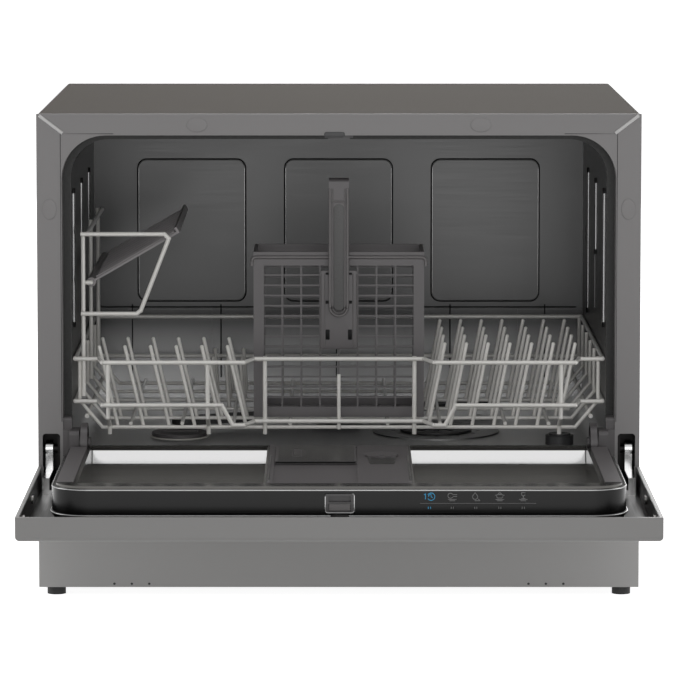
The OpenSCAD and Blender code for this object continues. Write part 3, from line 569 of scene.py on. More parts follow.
@dataclass(frozen=True)
class Dress:
    """A finish, the width of its softened edges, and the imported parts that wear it."""

    finish: Finish
    edge_mm: float
    parts: tuple[str, ...]

    def wear(self, part: bpy.types.Object) -> None:
        """Puts the finish and the softened edges on a part.

        Args:
            part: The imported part.
        """
        part.data.materials.clear()
        part.data.materials.append(self.finish.material())
        if self.edge_mm > 0:
            edge = part.modifiers.new("soft_edge", "BEVEL")
            edge.width = self.edge_mm * MM
            edge.segments = 2
            edge.limit_method = "ANGLE"
            edge.angle_limit = math.radians(SOFT_ANGLE_DEG)
            edge.use_clamp_overlap = True
            edge.harden_normals = False


DRESSES: tuple[Dress, ...] = (
    Dress(SHADED_CASE_PAINT, 0.0, ("cabinet_wrap",)),
    Dress(FRAME_PAINT, 0.5, ("front_frame",)),
    Dress(LIT_BASE_PAINT, 0.4, ("base_panel",)),
    Dress(BLACK_PLASTIC, 0.0, ("base_tray", "sump", "wash_pump", "drain_pump")),
    Dress(FOOT_RUBBER, 0.6, ("feet", "mains_gland")),
    Dress(REAR_SHEET, 0.0, ("rear_panel",)),
    Dress(SCREW_ZINC, 0.5, ("rear_screws", "door_screws")),
    Dress(TUB_STEEL, 0.0, ("tub",)),
    Dress(SEAL_RUBBER, 0.0, ("door_gasket",)),
    Dress(SEAL_RUBBER, 1.0, ("sill_seal",)),
    Dress(LATCH_PLASTIC, 0.4, ("latch_catch",)),
    Dress(FILTER_STEEL, 0.0, ("fine_filter",)),
    Dress(GREY_HOSE, 0.0, ("circulation_pipe", "drain_hose", "inlet_hose")),
    Dress(ZINC_PLATE, 0.0, ("water_heater", "door_spring_left", "door_spring_right")),
    Dress(GREY_HOSE, 0.4, ("drain_spigot",)),
    Dress(WHITE_PLASTIC, 0.0, ("softener", "air_break")),
    Dress(WHITE_PLASTIC, 0.4, ("inlet_valve",)),
    Dress(BOARD_LACQUER, 0.0, ("power_board", "control_board")),
    Dress(HINGE_SHADE, 0.0, ("hinge_bracket_left", "hinge_bracket_right")),
    Dress(DARK_PLASTIC, 0.6, ("roller_bracket_left", "roller_bracket_right", "salt_cap")),
    Dress(BLACK_PLASTIC, 0.6, ("spray_hub",)),
    Dress(TRAY_PAINT, 0.6, ("door_panel",)),
    Dress(LINER_STEEL, 0.6, ("door_liner",)),
    Dress(STRIP_PRINT, 0.0, ("control_strip",)),
    Dress(DARK_PLASTIC, 0.8, ("dispenser_body", "roller_left", "roller_right")),
    Dress(LATCH_PLASTIC, 0.3, ("latch_housing",)),
    Dress(DARK_PLASTIC, 0.5, ("rail_left", "rail_right")),
    Dress(HINGE_PLATE, 0.4, ("hinge_arm_left", "hinge_arm_right")),
    Dress(TONGUE_PLASTIC, 0.4, ("latch_tongue",)),
    Dress(FLAP_PLASTIC, 0.5, ("detergent_lid", "rinse_aid_cap")),
    Dress(BLACK_PLASTIC, 1.0, ("spray_arm", "float_dome")),
    Dress(BLACK_PLASTIC, 0.5, ("coarse_filter",)),
    Dress(RACK_COAT, 0.0, ("rack_frame", "rack_floor", "cup_frame")),
    Dress(TINE_COAT, 0.0, ("tines_left", "tines_right")),
    Dress(SHELF_PLASTIC, 0.0, ("cup_shelf",)),
    Dress(BASKET_PLASTIC, 0.0, ("cutlery_basket",)),
    Dress(BASKET_PLASTIC, 0.8, ("cutlery_handle",)),
)


def dress_parts(dresses: Iterable[Dress]) -> None:
    """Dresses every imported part.

    Args:
        dresses: The dresses, which name all the parts between them.
    """
    dress_of = {name: dress for dress in dresses for name in dress.parts}
    for name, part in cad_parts.items():
        dress_of[name].wear(part)
        LOG.info("dressed %s", name)


# ---- Meshes ----


class Draft:
    """The points and faces of one mesh while it is made."""

    def __init__(self) -> None:
        """Starts empty."""
        self.points: list[Vector] = []
        self.faces: list[tuple[int, ...]] = []

    def add(self, points: Iterable[Vector], faces: Iterable[Sequence[int]]) -> None:
        """Adds points and faces to the mesh.

        Args:
            points: The points.
            faces: The faces, numbered from the first of these points.
        """
        start = len(self.points)
        self.points.extend(points)
        self.faces.extend(tuple(start + i for i in face) for face in faces)

    def tube(self, path: Sequence[Vector], radius: float, sides: int = 10,
             closed: bool = False) -> None:
        """Adds a round tube along a path.

        Args:
            path: The middle line.
            radius: Radius of the tube.
            sides: Number of sides.
            closed: True if the path's ends meet.
        """
        count = len(path)
        points: list[Vector] = []
        up = Vector((0.0, 0.0, 1.0))
        for i, here in enumerate(path):
            before = path[i - 1] if closed or i else here
            after = path[(i + 1) % count] if closed or i < count - 1 else here
            way = (after - before).normalized()
            side = way.cross(up)
            if side.length < 0.05:
                side = way.cross(Vector((0.0, 1.0, 0.0)))
            side.normalize()
            over = side.cross(way).normalized()
            for k in range(sides):
                turn = 2 * math.pi * k / sides
                across, rise = radius * math.cos(turn), radius * math.sin(turn)
                points.append(here + side * across + over * rise)
        faces: list[tuple[int, ...]] = []
        for i in range(count if closed else count - 1):
            low, high = i * sides, (i + 1) % count * sides
            for k in range(sides):
                j = (k + 1) % sides
                faces.append((low + k, low + j, high + j, high + k))
        if not closed:
            faces.append(tuple(range(sides - 1, -1, -1)))
            faces.append(tuple((count - 1) * sides + k for k in range(sides)))
        self.add(points, faces)

    def slab(self, outline: Sequence[Vector], way: Vector, round_off: float = 0.0) -> None:
        """Adds a plate: an outline pushed along a way, with its far edge drawn in.

        Args:
            outline: The plate's foot, in order.
            way: From the foot to the face.
            round_off: How far the face's edge is drawn in towards the middle, as a share.
        """
        middle = sum(outline, Vector()) / len(outline)
        count = len(outline)
        rings = [list(outline)]
        if round_off > 0:
            rings.append([p + way * 0.6 for p in outline])
            rings.append([p.lerp(middle, round_off * 0.3) + way * 0.88 for p in outline])
            rings.append([p.lerp(middle, round_off) + way for p in outline])
        else:
            rings.append([p + way for p in outline])
        faces: list[tuple[int, ...]] = []
        for low in range(0, (len(rings) - 1) * count, count):
            high = low + count
            for i in range(count):
                j = (i + 1) % count
                faces.append((low + i, low + j, high + j, high + i))
        faces.append(tuple(range(count - 1, -1, -1)))
        faces.append(tuple((len(rings) - 1) * count + i for i in range(count)))
        self.add([p for ring in rings for p in ring], faces)

    def build(self, name: str, finish: Finish, body: str, slot: str,
              angle: float = 40.0) -> bpy.types.Object:
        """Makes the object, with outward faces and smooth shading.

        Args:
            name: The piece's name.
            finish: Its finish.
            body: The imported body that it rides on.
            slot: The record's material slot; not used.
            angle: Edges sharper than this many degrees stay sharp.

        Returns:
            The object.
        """
        mesh = bpy.data.meshes.new(name)
        mesh.from_pydata([tuple(p) for p in self.points], [], self.faces)
        mesh.validate()
        piece = add_object(name, mesh)
        tidy_normals(mesh)
        mesh.shade_smooth()
        mesh.set_sharp_from_angle(angle=math.radians(angle))
        mesh.materials.append(finish.material())
        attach(piece, body)
        LOG.info("%s rides on %s", name, body)
        return piece


def tidy_normals(mesh: bpy.types.Mesh) -> None:
    """Turns all faces of a mesh outward.

    Args:
        mesh: The mesh.
    """
    work = bmesh.new()
    work.from_mesh(mesh)
    bmesh.ops.recalc_face_normals(work, faces=work.faces)
    work.to_mesh(mesh)
    work.free()


def arc(centre: Flat, radius: float, start: float, stop: float, steps: int) -> list[Flat]:
    """Points on an arc.

    Args:
        centre: Its centre.
        radius: Its radius.
        start: First angle in degrees.
        stop: Last angle in degrees.
        steps: Number of steps.

    Returns:
        The points, both ends among them.
    """
    points = []
    for i in range(steps + 1):
        turn = math.radians(start + (stop - start) * i / steps)
        points.append((centre[0] + radius * math.cos(turn), centre[1] + radius * math.sin(turn)))
    return points


def rounded(low: Flat, high: Flat, radius: float, steps: int = 8) -> list[Flat]:
    """The outline of a rectangle with round corners, anticlockwise.

    Args:
        low: Its low corner.
        high: Its high corner.
        radius: Radius of the corners.
        steps: Number of steps in each corner.

    Returns:
        The points.
    """
    points: list[Flat] = []
    corners = [
        ((high[0] - radius, high[1] - radius), 0.0),
        ((low[0] + radius, high[1] - radius), 90.0),
        ((low[0] + radius, low[1] + radius), 180.0),
        ((high[0] - radius, low[1] + radius), 270.0),
    ]
    for centre, start in corners:
        points += arc(centre, radius, start, start + 90, steps)
    return points


# ---- Case ----


@dataclass
class Case:
    """The painted case: ridges on its mitred corners in a light paint as a painted highlight, seams and
    plugs in its screw holes.
    """

    ridge_from_mm: Flat = (272.6, 440.6)
    ridge_to_mm: Flat = (251.2, 424.4)
    ridge_r_mm: float = 1.5
    seam_from_mm: float = 205.0
    seam_x_mm: float = 253.2
    seam_z_mm: float = 423.9
    seam_foot_mm: float = 160.0
    seam_r_mm: float = 0.28
    plug_places_mm: tuple[Flat, ...] = (
        (-129.0, 432.0), (129.0, 432.0), (-263.5, 355.0), (263.5, 355.0),
    )
    plug_size_mm: Flat = (9.6, 6.6)
    plug_high_mm: float = 0.6
    hood_low_mm: Flat = (-13.4, 420.9)
    hood_high_mm: Flat = (5.4, 425.6)
    hood_r_mm: float = 2.0
    hood_deep_mm: float = 0.9

    def mitre_ridges(self) -> None:
        """Builds the folded ridge across each upper corner of the frame, painted lighter than the frame
        as a painted highlight.
        """
        for side, word in SIDES:
            draft = Draft()
            outer = at(side * self.ridge_from_mm[0], 0.0, self.ridge_from_mm[1])
            inner = at(side * self.ridge_to_mm[0], 0.0, self.ridge_to_mm[1])
            path = [outer.lerp(inner, i / 6) for i in range(7)]
            draft.tube(path, self.ridge_r_mm * MM, 12)
            draft.build(f"mitre_ridge_{word}", RIDGE_HIGHLIGHT_PAINT, "cabinet", "frame_paint")

    def seams(self) -> None:
        """Builds the fine seam round the corner plates of the mouth."""
        for side, word in SIDES:
            corner = side * self.seam_x_mm
            line = [(side * self.seam_from_mm, self.seam_z_mm), (corner, self.seam_z_mm),
                    (corner, self.seam_foot_mm)]
            draft = Draft()
            draft.tube(standing(line, 0.0), self.seam_r_mm * MM, 6)
            draft.build(f"corner_seam_{word}", GROOVE_SHADE, "cabinet", "frame_paint")

    def plugs(self) -> None:
        """Builds the faint oval plugs, which lie flat over the mouth and stand beside it."""
        for i, (x, z) in enumerate(self.plug_places_mm):
            wide, high = self.plug_size_mm if abs(x) < self.seam_x_mm else self.plug_size_mm[::-1]
            turns = (2 * math.pi * k / 36 for k in range(36))
            oval = [(x + wide * math.cos(t), z + high * math.sin(t)) for t in turns]
            draft = Draft()
            draft.slab(standing(oval, 0.02), step(0.0, -self.plug_high_mm, 0.0), 0.12)
            draft.build(f"screw_plug_{i + 1}", PLUG_PAINT, "cabinet", "frame_paint")

    def catch_hood(self) -> None:
        """Builds the small dark hood of the latch catch over the mouth."""
        outline = rounded(self.hood_low_mm, self.hood_high_mm, self.hood_r_mm, 5)
        draft = Draft()
        draft.slab(standing(outline, 0.1), step(0.0, -self.hood_deep_mm, 0.0), 0.06)
        draft.build("catch_hood", BLACK_PLASTIC, "cabinet", "dark_plastic")

    def build(self) -> None:
        """Builds everything on the case."""
        self.mitre_ridges()
        self.seams()
        self.plugs()
        self.catch_hood()


# ---- Tub ----


@dataclass
class Tub:
    """The stainless tub's panel grooves and side beads, drawn in painted shade and painted highlights,
    and its seal lip.
    """

    half_width_mm: float = 244.6
    back_mm: float = 400.0
    proud_mm: float = 2.0
    panel_x_mm: tuple[float, ...] = (-147.0, 0.0, 147.0)
    panel_half_mm: float = 54.0
    panel_z_mm: Flat = (227.0, 370.0)
    panel_r_mm: float = 9.0
    groove_r_mm: float = 0.62
    edge_in_mm: float = 1.1
    edge_r_mm: float = 0.28
    ledge_in_mm: float = 6.0
    ledge_z_mm: float = 221.5
    ledge_r_mm: float = 0.4
    ledge_edge_z_mm: float = 220.4
    ledge_edge_r_mm: float = 0.3
    lower_x_mm: tuple[float, ...] = (-207.0, -118.0, -2.0, 112.0, 207.0)
    lower_z_mm: Flat = (224.0, 150.0)
    lower_r_mm: float = 0.6
    bead_rows_mm: tuple[Point, ...] = (
        (48.0, 244.0, 368.0), (176.0, 299.0, 367.0), (300.0, 229.0, 367.0),
    )
    bead_sunk_mm: float = 0.1
    bead_r_mm: float = 1.3
    bead_end_mm: float = 2.4
    bead_end_r_mm: float = 1.8
    lip_half_mm: float = 247.3
    lip_top_mm: float = 420.0
    lip_foot_mm: float = 156.0
    lip_corner_mm: float = 35.7
    lip_y_mm: float = 20.7
    lip_r_mm: float = 2.2

    @property
    def face_mm(self) -> float:
        """Where the back wall's pressed face stands."""
        return self.back_mm - self.proud_mm

    def panel_grooves(self) -> None:
        """Builds a line of painted shade in the groove round each pressed panel, with a painted highlight
        along its inner edge.
        """
        for middle, word in zip(self.panel_x_mm, ("left", "middle", "right")):
            low = (middle - self.panel_half_mm, self.panel_z_mm[0])
            high = (middle + self.panel_half_mm, self.panel_z_mm[1])
            ring = rounded(low, high, self.panel_r_mm)
            dark = Draft()
            dark.tube(standing(ring, self.face_mm), self.groove_r_mm * MM, 8, closed=True)
            dark.build(f"panel_groove_{word}", GROOVE_SHADE, "cabinet", "stainless")
            inset = self.edge_in_mm
            inner = rounded((low[0] + inset, low[1] + inset), (high[0] - inset, high[1] - inset),
                            self.panel_r_mm - inset)
            light = Draft()
            light.tube(standing(inner, self.face_mm), self.edge_r_mm * MM, 6, closed=True)
            light.build(f"panel_edge_{word}", GROOVE_HIGHLIGHT, "cabinet", "stainless")

    def ledge_line(self, z_mm: float) -> list[Vector]:
        """A level line across the back wall at a height."""
        half = self.half_width_mm - self.ledge_in_mm
        return standing([(-half, z_mm), (half, z_mm)], self.face_mm)

    def lower_grooves(self) -> None:
        """Builds the ledge line and the upright grooves of the wall's lower half in painted shade, with a
        painted highlight under the ledge line.
        """
        dark = Draft()
        dark.tube(self.ledge_line(self.ledge_z_mm), self.ledge_r_mm * MM, 6)
        for x in self.lower_x_mm:
            dark.tube(standing([(x, z) for z in self.lower_z_mm], self.face_mm), self.lower_r_mm * MM, 6)
        dark.build("lower_grooves", GROOVE_SHADE, "cabinet", "stainless")
        edge = Draft()
        edge.tube(self.ledge_line(self.ledge_edge_z_mm), self.ledge_edge_r_mm * MM, 6)
        edge.build("ledge_edge", GROOVE_HIGHLIGHT, "cabinet", "stainless")

    def side_beads(self) -> None:
        """Builds the upright beads pressed into both side walls, in lighter steel as a painted highlight,
        with painted shade at their ends.
        """
        for side, word in SIDES:
            ridge, ends = Draft(), Draft()
            x = side * (self.half_width_mm + self.bead_sunk_mm)
            for y, low, high in self.bead_rows_mm:
                ridge.tube([at(x, y, low), at(x, y, high)], self.bead_r_mm * MM, 12)
                for z in (low, high):
                    ends.tube([at(x, y, z - self.bead_end_mm), at(x, y, z + self.bead_end_mm)],
                              self.bead_end_r_mm * MM, 12)
            ridge.build(f"side_beads_{word}", BEAD_HIGHLIGHT_STEEL, "cabinet", "stainless")
            ends.build(f"bead_ends_{word}", GROOVE_SHADE, "cabinet", "stainless")

    def seal_lip(self) -> None:
        """Builds the round lip of the door seal along the mouth."""
        half, foot, r = self.lip_half_mm, self.lip_foot_mm, self.lip_corner_mm
        shoulder = self.lip_top_mm - r
        line = [(-half, foot + (shoulder - foot) * i / 8) for i in range(8)]
        line += arc((-half + r, shoulder), r, 180, 90, 12)
        line += arc((half - r, shoulder), r, 90, 0, 12)
        line += [(half, shoulder - (shoulder - foot) * (i + 1) / 8) for i in range(8)]
        draft = Draft()
        draft.tube(standing(line, self.lip_y_mm), self.lip_r_mm * MM, 12)
        draft.build("seal_lip", SEAL_RUBBER, "cabinet", "rubber")

    def build(self) -> None:
        """Builds everything in the tub."""
        self.panel_grooves()
        self.lower_grooves()
        self.side_beads()
        self.seal_lip()


# ---- Door ----


@dataclass
class Door:
    """The open door: its tray lining, bright ramps, edge lines of painted highlight, the latch's outline
    and small pieces of painted shade.
    """

    strip_y_mm: float = -271.0
    liner_half_mm: float = 247.0
    liner_top_mm: float = 139.0
    corner_r_mm: float = 32.0
    recess_x_mm: Flat = (65.6, 224.9)
    recess_back_mm: float = -5.1
    ramp_profile_mm: tuple[Flat, ...] = (
        (0.0, 134.6), (-0.7, 134.4), (-3.4, 122.6), (-3.4, 121.2), (0.0, 121.0),
    )
    tray_half_mm: float = 271.9
    tray_y_mm: Flat = (-291.9, -12.0)
    tray_z_mm: Flat = (99.3, 118.4)
    lining_in_mm: float = 2.0
    lining_mm: float = 0.3
    lid_low_mm: Flat = (-54.4, -111.0)
    lid_high_mm: Flat = (13.6, -20.0)
    window_low_mm: Flat = (-41.6, -85.0)
    window_high_mm: Flat = (-33.1, -43.0)
    gap_x_mm: Flat = (-56.4, 14.6)
    gap_y_mm: float = -118.0
    gap_up_mm: Flat = (0.1, 1.5)
    gap_deep_mm: float = 1.6
    cap_recess_mm: tuple[Flat, ...] = ((25.0, -72.0), (51.6, -72.0), (49.0, -121.0), (27.6, -121.0))
    trim_x_mm: Flat = (-61.0, 61.6)
    trim_y_mm: Flat = (-74.0, -222.0)
    trim_r_mm: float = 0.8
    rim_in_mm: float = 0.4
    rim_down_mm: float = 0.6
    rim_back_mm: float = -60.0
    rim_r_mm: float = 0.7
    foot_out_mm: float = 0.8
    foot_z_mm: float = 116.4
    foot_back_mm: float = -180.0
    foot_r_mm: float = 0.9
    latch_x_mm: Flat = (-11.9, 12.9)
    latch_z_mm: Flat = (121.4, 133.4)
    latch_corner_mm: float = 2.2
    latch_hook_mm: float = 2.0
    latch_line_r_mm: float = 0.45
    notch_low_mm: Flat = (-7.4, 114.6)
    notch_high_mm: Flat = (8.4, 118.0)
    notch_deep_mm: float = 0.9

    def ramps(self) -> None:
        """Builds the polished sloping back wall of each recess."""
        count = len(self.ramp_profile_mm)
        faces = [tuple(range(count)), tuple(range(2 * count - 1, count - 1, -1))]
        faces += [(i, (i + 1) % count, (i + 1) % count + count, i + count) for i in range(count)]
        for side, word in SIDES:
            draft = Draft()
            draft.add([at(side * x, self.recess_back_mm + dy, z) for x in self.recess_x_mm
                       for dy, z in self.ramp_profile_mm], faces)
            draft.build(f"recess_ramp_{word}", RAMP_STEEL, "door", "stainless")

    def tray_lining(self) -> None:
        """Builds the bare sheet that lines the tray round the inner door."""
        half, inner = self.tray_half_mm, self.liner_half_mm - self.lining_in_mm
        (front, back), (low, high) = self.tray_y_mm, self.tray_z_mm
        draft = Draft()
        for side in (-1, 1):
            near, far = side * inner, side * half
            floor = [(near, front), (far, front), (far, back), (near, back)]
            draft.slab(lying(floor, low), step(0.0, 0.0, self.lining_mm))
            wall = [at(far, front, low), at(far, back, low), at(far, back, high), at(far, front, high)]
            draft.slab(wall, step(-side * self.lining_mm, 0.0, 0.0))
        draft.slab(standing([(-half, low), (half, low), (half, high), (-half, high)], front),
                   step(0.0, self.lining_mm, 0.0))
        draft.build("tray_lining", TRAY_INSIDE, "door", "stainless")

    def detergent_lid(self) -> None:
        """Builds the sliding lid's dark sheet, its catch window and a strip of painted shade for the gap
        at its front edge.
        """
        lid = Draft()
        outline = rounded(self.lid_low_mm, self.lid_high_mm, 3.0, 5)
        lid.slab(lying(outline, self.liner_top_mm + 1.0), step(0.0, 0.0, 0.35), 0.01)
        lid.build("lid_sheet", LID_PLASTIC, "detergent_lid", "dark_plastic")
        window = Draft()
        outline = rounded(self.window_low_mm, self.window_high_mm, 2.0, 5)
        window.tube(lying(outline, self.liner_top_mm + 1.4), 0.5 * MM, 8, closed=True)
        window.build("lid_window", FLAP_PLASTIC, "detergent_lid", "dark_plastic")
        gap = Draft()
        left, right = self.gap_x_mm
        low, high = (self.liner_top_mm + up for up in self.gap_up_mm)
        gap.slab(standing([(left, low), (right, low), (right, high), (left, high)], self.gap_y_mm),
                 step(0.0, self.gap_deep_mm, 0.0), 0.01)
        gap.build("lid_gap", GROOVE_SHADE, "detergent_lid", "dark_plastic")

    def dispenser_trim(self) -> None:
        """Builds the recess at the rinse aid cap and the painted highlight lines beside the dispenser."""
        grip = Draft()
        grip.slab(lying(self.cap_recess_mm, self.liner_top_mm - 0.1), step(0.0, 0.0, 0.5), 0.04)
        grip.build("cap_recess", LID_PLASTIC, "door", "dark_plastic")
        trim = Draft()
        for x in self.trim_x_mm:
            line = lying([(x, y) for y in self.trim_y_mm], self.liner_top_mm + 0.2)
            trim.tube(line, self.trim_r_mm * MM, 10)
        trim.build("dispenser_trim", EDGE_HIGHLIGHT, "door", "chrome")

    def edge_path(self, inset_mm: float, z_mm: float, back_mm: float) -> list[Vector]:
        """The inner door's plan outline, from one side round the front to the other.

        Args:
            inset_mm: How far it lies inside the plan.
            z_mm: Its height.
            back_mm: Where both ends stop.

        Returns:
            The points of the line.
        """
        half = self.liner_half_mm - inset_mm
        front = self.strip_y_mm + inset_mm
        r = self.corner_r_mm - inset_mm
        flat = [(-half, back_mm + (front + r - back_mm) * i / 6) for i in range(6)]
        flat += arc((-half + r, front + r), r, 180, 270, 14)
        flat += arc((half - r, front + r), r, 270, 360, 14)
        flat += [(half, front + r + (back_mm - front - r) * (i + 1) / 6) for i in range(6)]
        return lying(flat, z_mm)

    def edges(self) -> None:
        """Builds the rolled lines round the inner door's rim and foot, in lighter steel as painted
        highlights.
        """
        rim = Draft()
        line = self.edge_path(self.rim_in_mm, self.liner_top_mm - self.rim_down_mm, self.rim_back_mm)
        rim.tube(line, self.rim_r_mm * MM, 10)
        rim.build("liner_edge", EDGE_HIGHLIGHT, "door", "stainless")
        foot = Draft()
        line = self.edge_path(-self.foot_out_mm, self.foot_z_mm, self.foot_back_mm)
        foot.tube(line, self.foot_r_mm * MM, 10)
        foot.build("liner_foot", FOOT_HIGHLIGHT, "door", "stainless")

    def latch_plate(self) -> None:
        """Builds the bright outline round the latch and a notch of painted shade under it."""
        (left, right), (foot, top) = self.latch_x_mm, self.latch_z_mm
        r, hook = self.latch_corner_mm, self.latch_hook_mm
        outline = [(left, top), (left, foot + 0.2), *arc((left + r, foot), r, 180, 270, 5),
                   *arc((right - r, foot), r, 270, 360, 5), (right, foot + 0.2), (right, top),
                   *arc((right - hook, top + 0.2), hook, 0, 80, 5)]
        draft = Draft()
        draft.tube(standing(outline, self.strip_y_mm - 0.3), self.latch_line_r_mm * MM, 8)
        draft.build("latch_outline", OUTLINE_PLATE, "door", "chrome")
        notch = Draft()
        outline = rounded(self.notch_low_mm, self.notch_high_mm, 1.2, 4)
        notch.slab(standing(outline, self.strip_y_mm - 2.0), step(0.0, -self.notch_deep_mm, 0.0), 0.05)
        notch.build("latch_notch", HINGE_SHADE, "door", "dark_plastic")

    def build(self) -> None:
        """Builds everything on the door."""
        self.tray_lining()
        self.ramps()
        self.detergent_lid()
        self.dispenser_trim()
        self.edges()
        self.latch_plate()


# ---- Cutlery basket ----


@dataclass
class CutleryBasket:
    """The ribs, inset and clip plate of the basket's carrying handle, and the basket's rim."""

    face_mm: float = 62.0
    bar_deep_mm: float = 12.0
    top_mm: float = 373.5
    foot_mm: float = 251.6
    rib_half_mm: float = 8.2
    rib_lines_mm: tuple[Flat, ...] = ((0.0, 1.15), (2.6, 0.5))
    cross_in_mm: float = 1.4
    cross_down_mm: float = 16.0
    cross_r_mm: float = 0.9
    inset_in_mm: float = 3.4
    inset_down_mm: float = 18.0
    inset_up_mm: float = 4.6
    plate_low_mm: Flat = (-17.4, 219.6)
    plate_high_mm: Flat = (17.4, 292.9)
    plate_thick_mm: float = 0.9
    clip_rib_in_mm: Flat = (0.8, 4.2)
    clip_rib_r_mm: float = 0.5
    slot_x_mm: Flat = (-10.4, 10.4)
    slot_half_mm: float = 1.9
    slot_z_mm: tuple[Flat, ...] = ((228.5, 238.0), (262.0, 265.0), (289.0, 291.0))
    rim_half_mm: float = 80.5
    rim_z_mm: float = 305.0
    rim_corner_mm: float = 4.0
    rim_end_mm: float = 8.0
    rim_r_mm: float = 1.7

    def handle(self) -> None:
        """Builds the ribs round the handle's bar and the darker inset between them."""
        front = self.face_mm - self.bar_deep_mm
        ribs = Draft()
        for inset, radius in self.rib_lines_mm:
            half = self.rib_half_mm - inset
            foot = arc((0.0, self.foot_mm + self.rib_half_mm), half, 180, 360, 16)
            line = [(-half, self.top_mm - 4.0), *foot, (half, self.top_mm - 4.0)]
            ribs.tube(standing(line, front - 0.4), radius * MM, 10)
        bar, cross = self.rib_half_mm - self.cross_in_mm, self.top_mm - self.cross_down_mm
        ribs.tube(standing([(-bar, cross), (bar, cross)], front - 0.4), self.cross_r_mm * MM, 10)
        ribs.build("handle_ribs", RIB_PLASTIC, "basket", "dark_plastic")
        half = self.rib_half_mm - self.inset_in_mm
        outline = rounded((-half, self.foot_mm + self.inset_up_mm),
                          (half, self.top_mm - self.inset_down_mm), half - 0.1)
        inset = Draft()
        inset.slab(standing(outline, front + 0.1), step(0.0, -0.35, 0.0), 0.02)
        inset.build("handle_inset", LID_PLASTIC, "basket", "dark_plastic")

    def clip_plate(self) -> None:
        """Builds the plate that carries the handle, with its side ribs and its clip slots as patches of
        painted shade.
        """
        (x0, z0), (x1, z1) = self.plate_low_mm, self.plate_high_mm
        plate = Draft()
        outline = rounded(self.plate_low_mm, self.plate_high_mm, 2.5, 6)
        plate.slab(standing(outline, self.face_mm - 1.9), step(0.0, -self.plate_thick_mm, 0.0), 0.02)
        plate.build("clip_plate", BASKET_PLASTIC, "basket", "dark_plastic")
        ribs = Draft()
        outer, inner = self.clip_rib_in_mm
        for x in (x0 + outer, x0 + inner, x1 - inner, x1 - outer):
            line = standing([(x, z0 + 2.0), (x, z1 - 3.0)], self.face_mm - 2.9)
            ribs.tube(line, self.clip_rib_r_mm * MM, 8)
        ribs.build("clip_ribs", RIB_PLASTIC, "basket", "dark_plastic")
        slots = Draft()
        for x in self.slot_x_mm:
            for low, high in self.slot_z_mm:
                outline = rounded((x - self.slot_half_mm, low), (x + self.slot_half_mm, high), 0.7, 4)
                slots.slab(standing(outline, self.face_mm - 2.7), step(0.0, -0.35, 0.0), 0.03)
        slots.build("clip_slots", GROOVE_SHADE, "basket", "dark_plastic")

    def rim(self) -> None:
        """Builds the rolled rim along the basket's front edge."""
        half, r = self.rim_half_mm, self.rim_corner_mm
        low, bend = self.rim_z_mm - self.rim_end_mm, self.rim_z_mm - r
        line = [(-half, low), *arc((-half + r, bend), r, 180, 90, 6), *arc((half - r, bend), r, 90, 0, 6),
                (half, low)]
        draft = Draft()
        draft.tube(standing(line, self.face_mm - 0.2), self.rim_r_mm * MM, 12)
        draft.build("basket_roll", RIB_PLASTIC, "basket", "dark_plastic")

    def build(self) -> None:
        """Builds everything on the basket."""
        self.handle()
        self.clip_plate()
        self.rim()


# ---- Control strip ----


class Mark(Enum):
    """The plain pictograms on the control strip, from left to right."""

    CLOCK = "clock"
    PLATES = "plates"
    DROP = "drop"
    POT = "pot"
    GLASS = "glass"


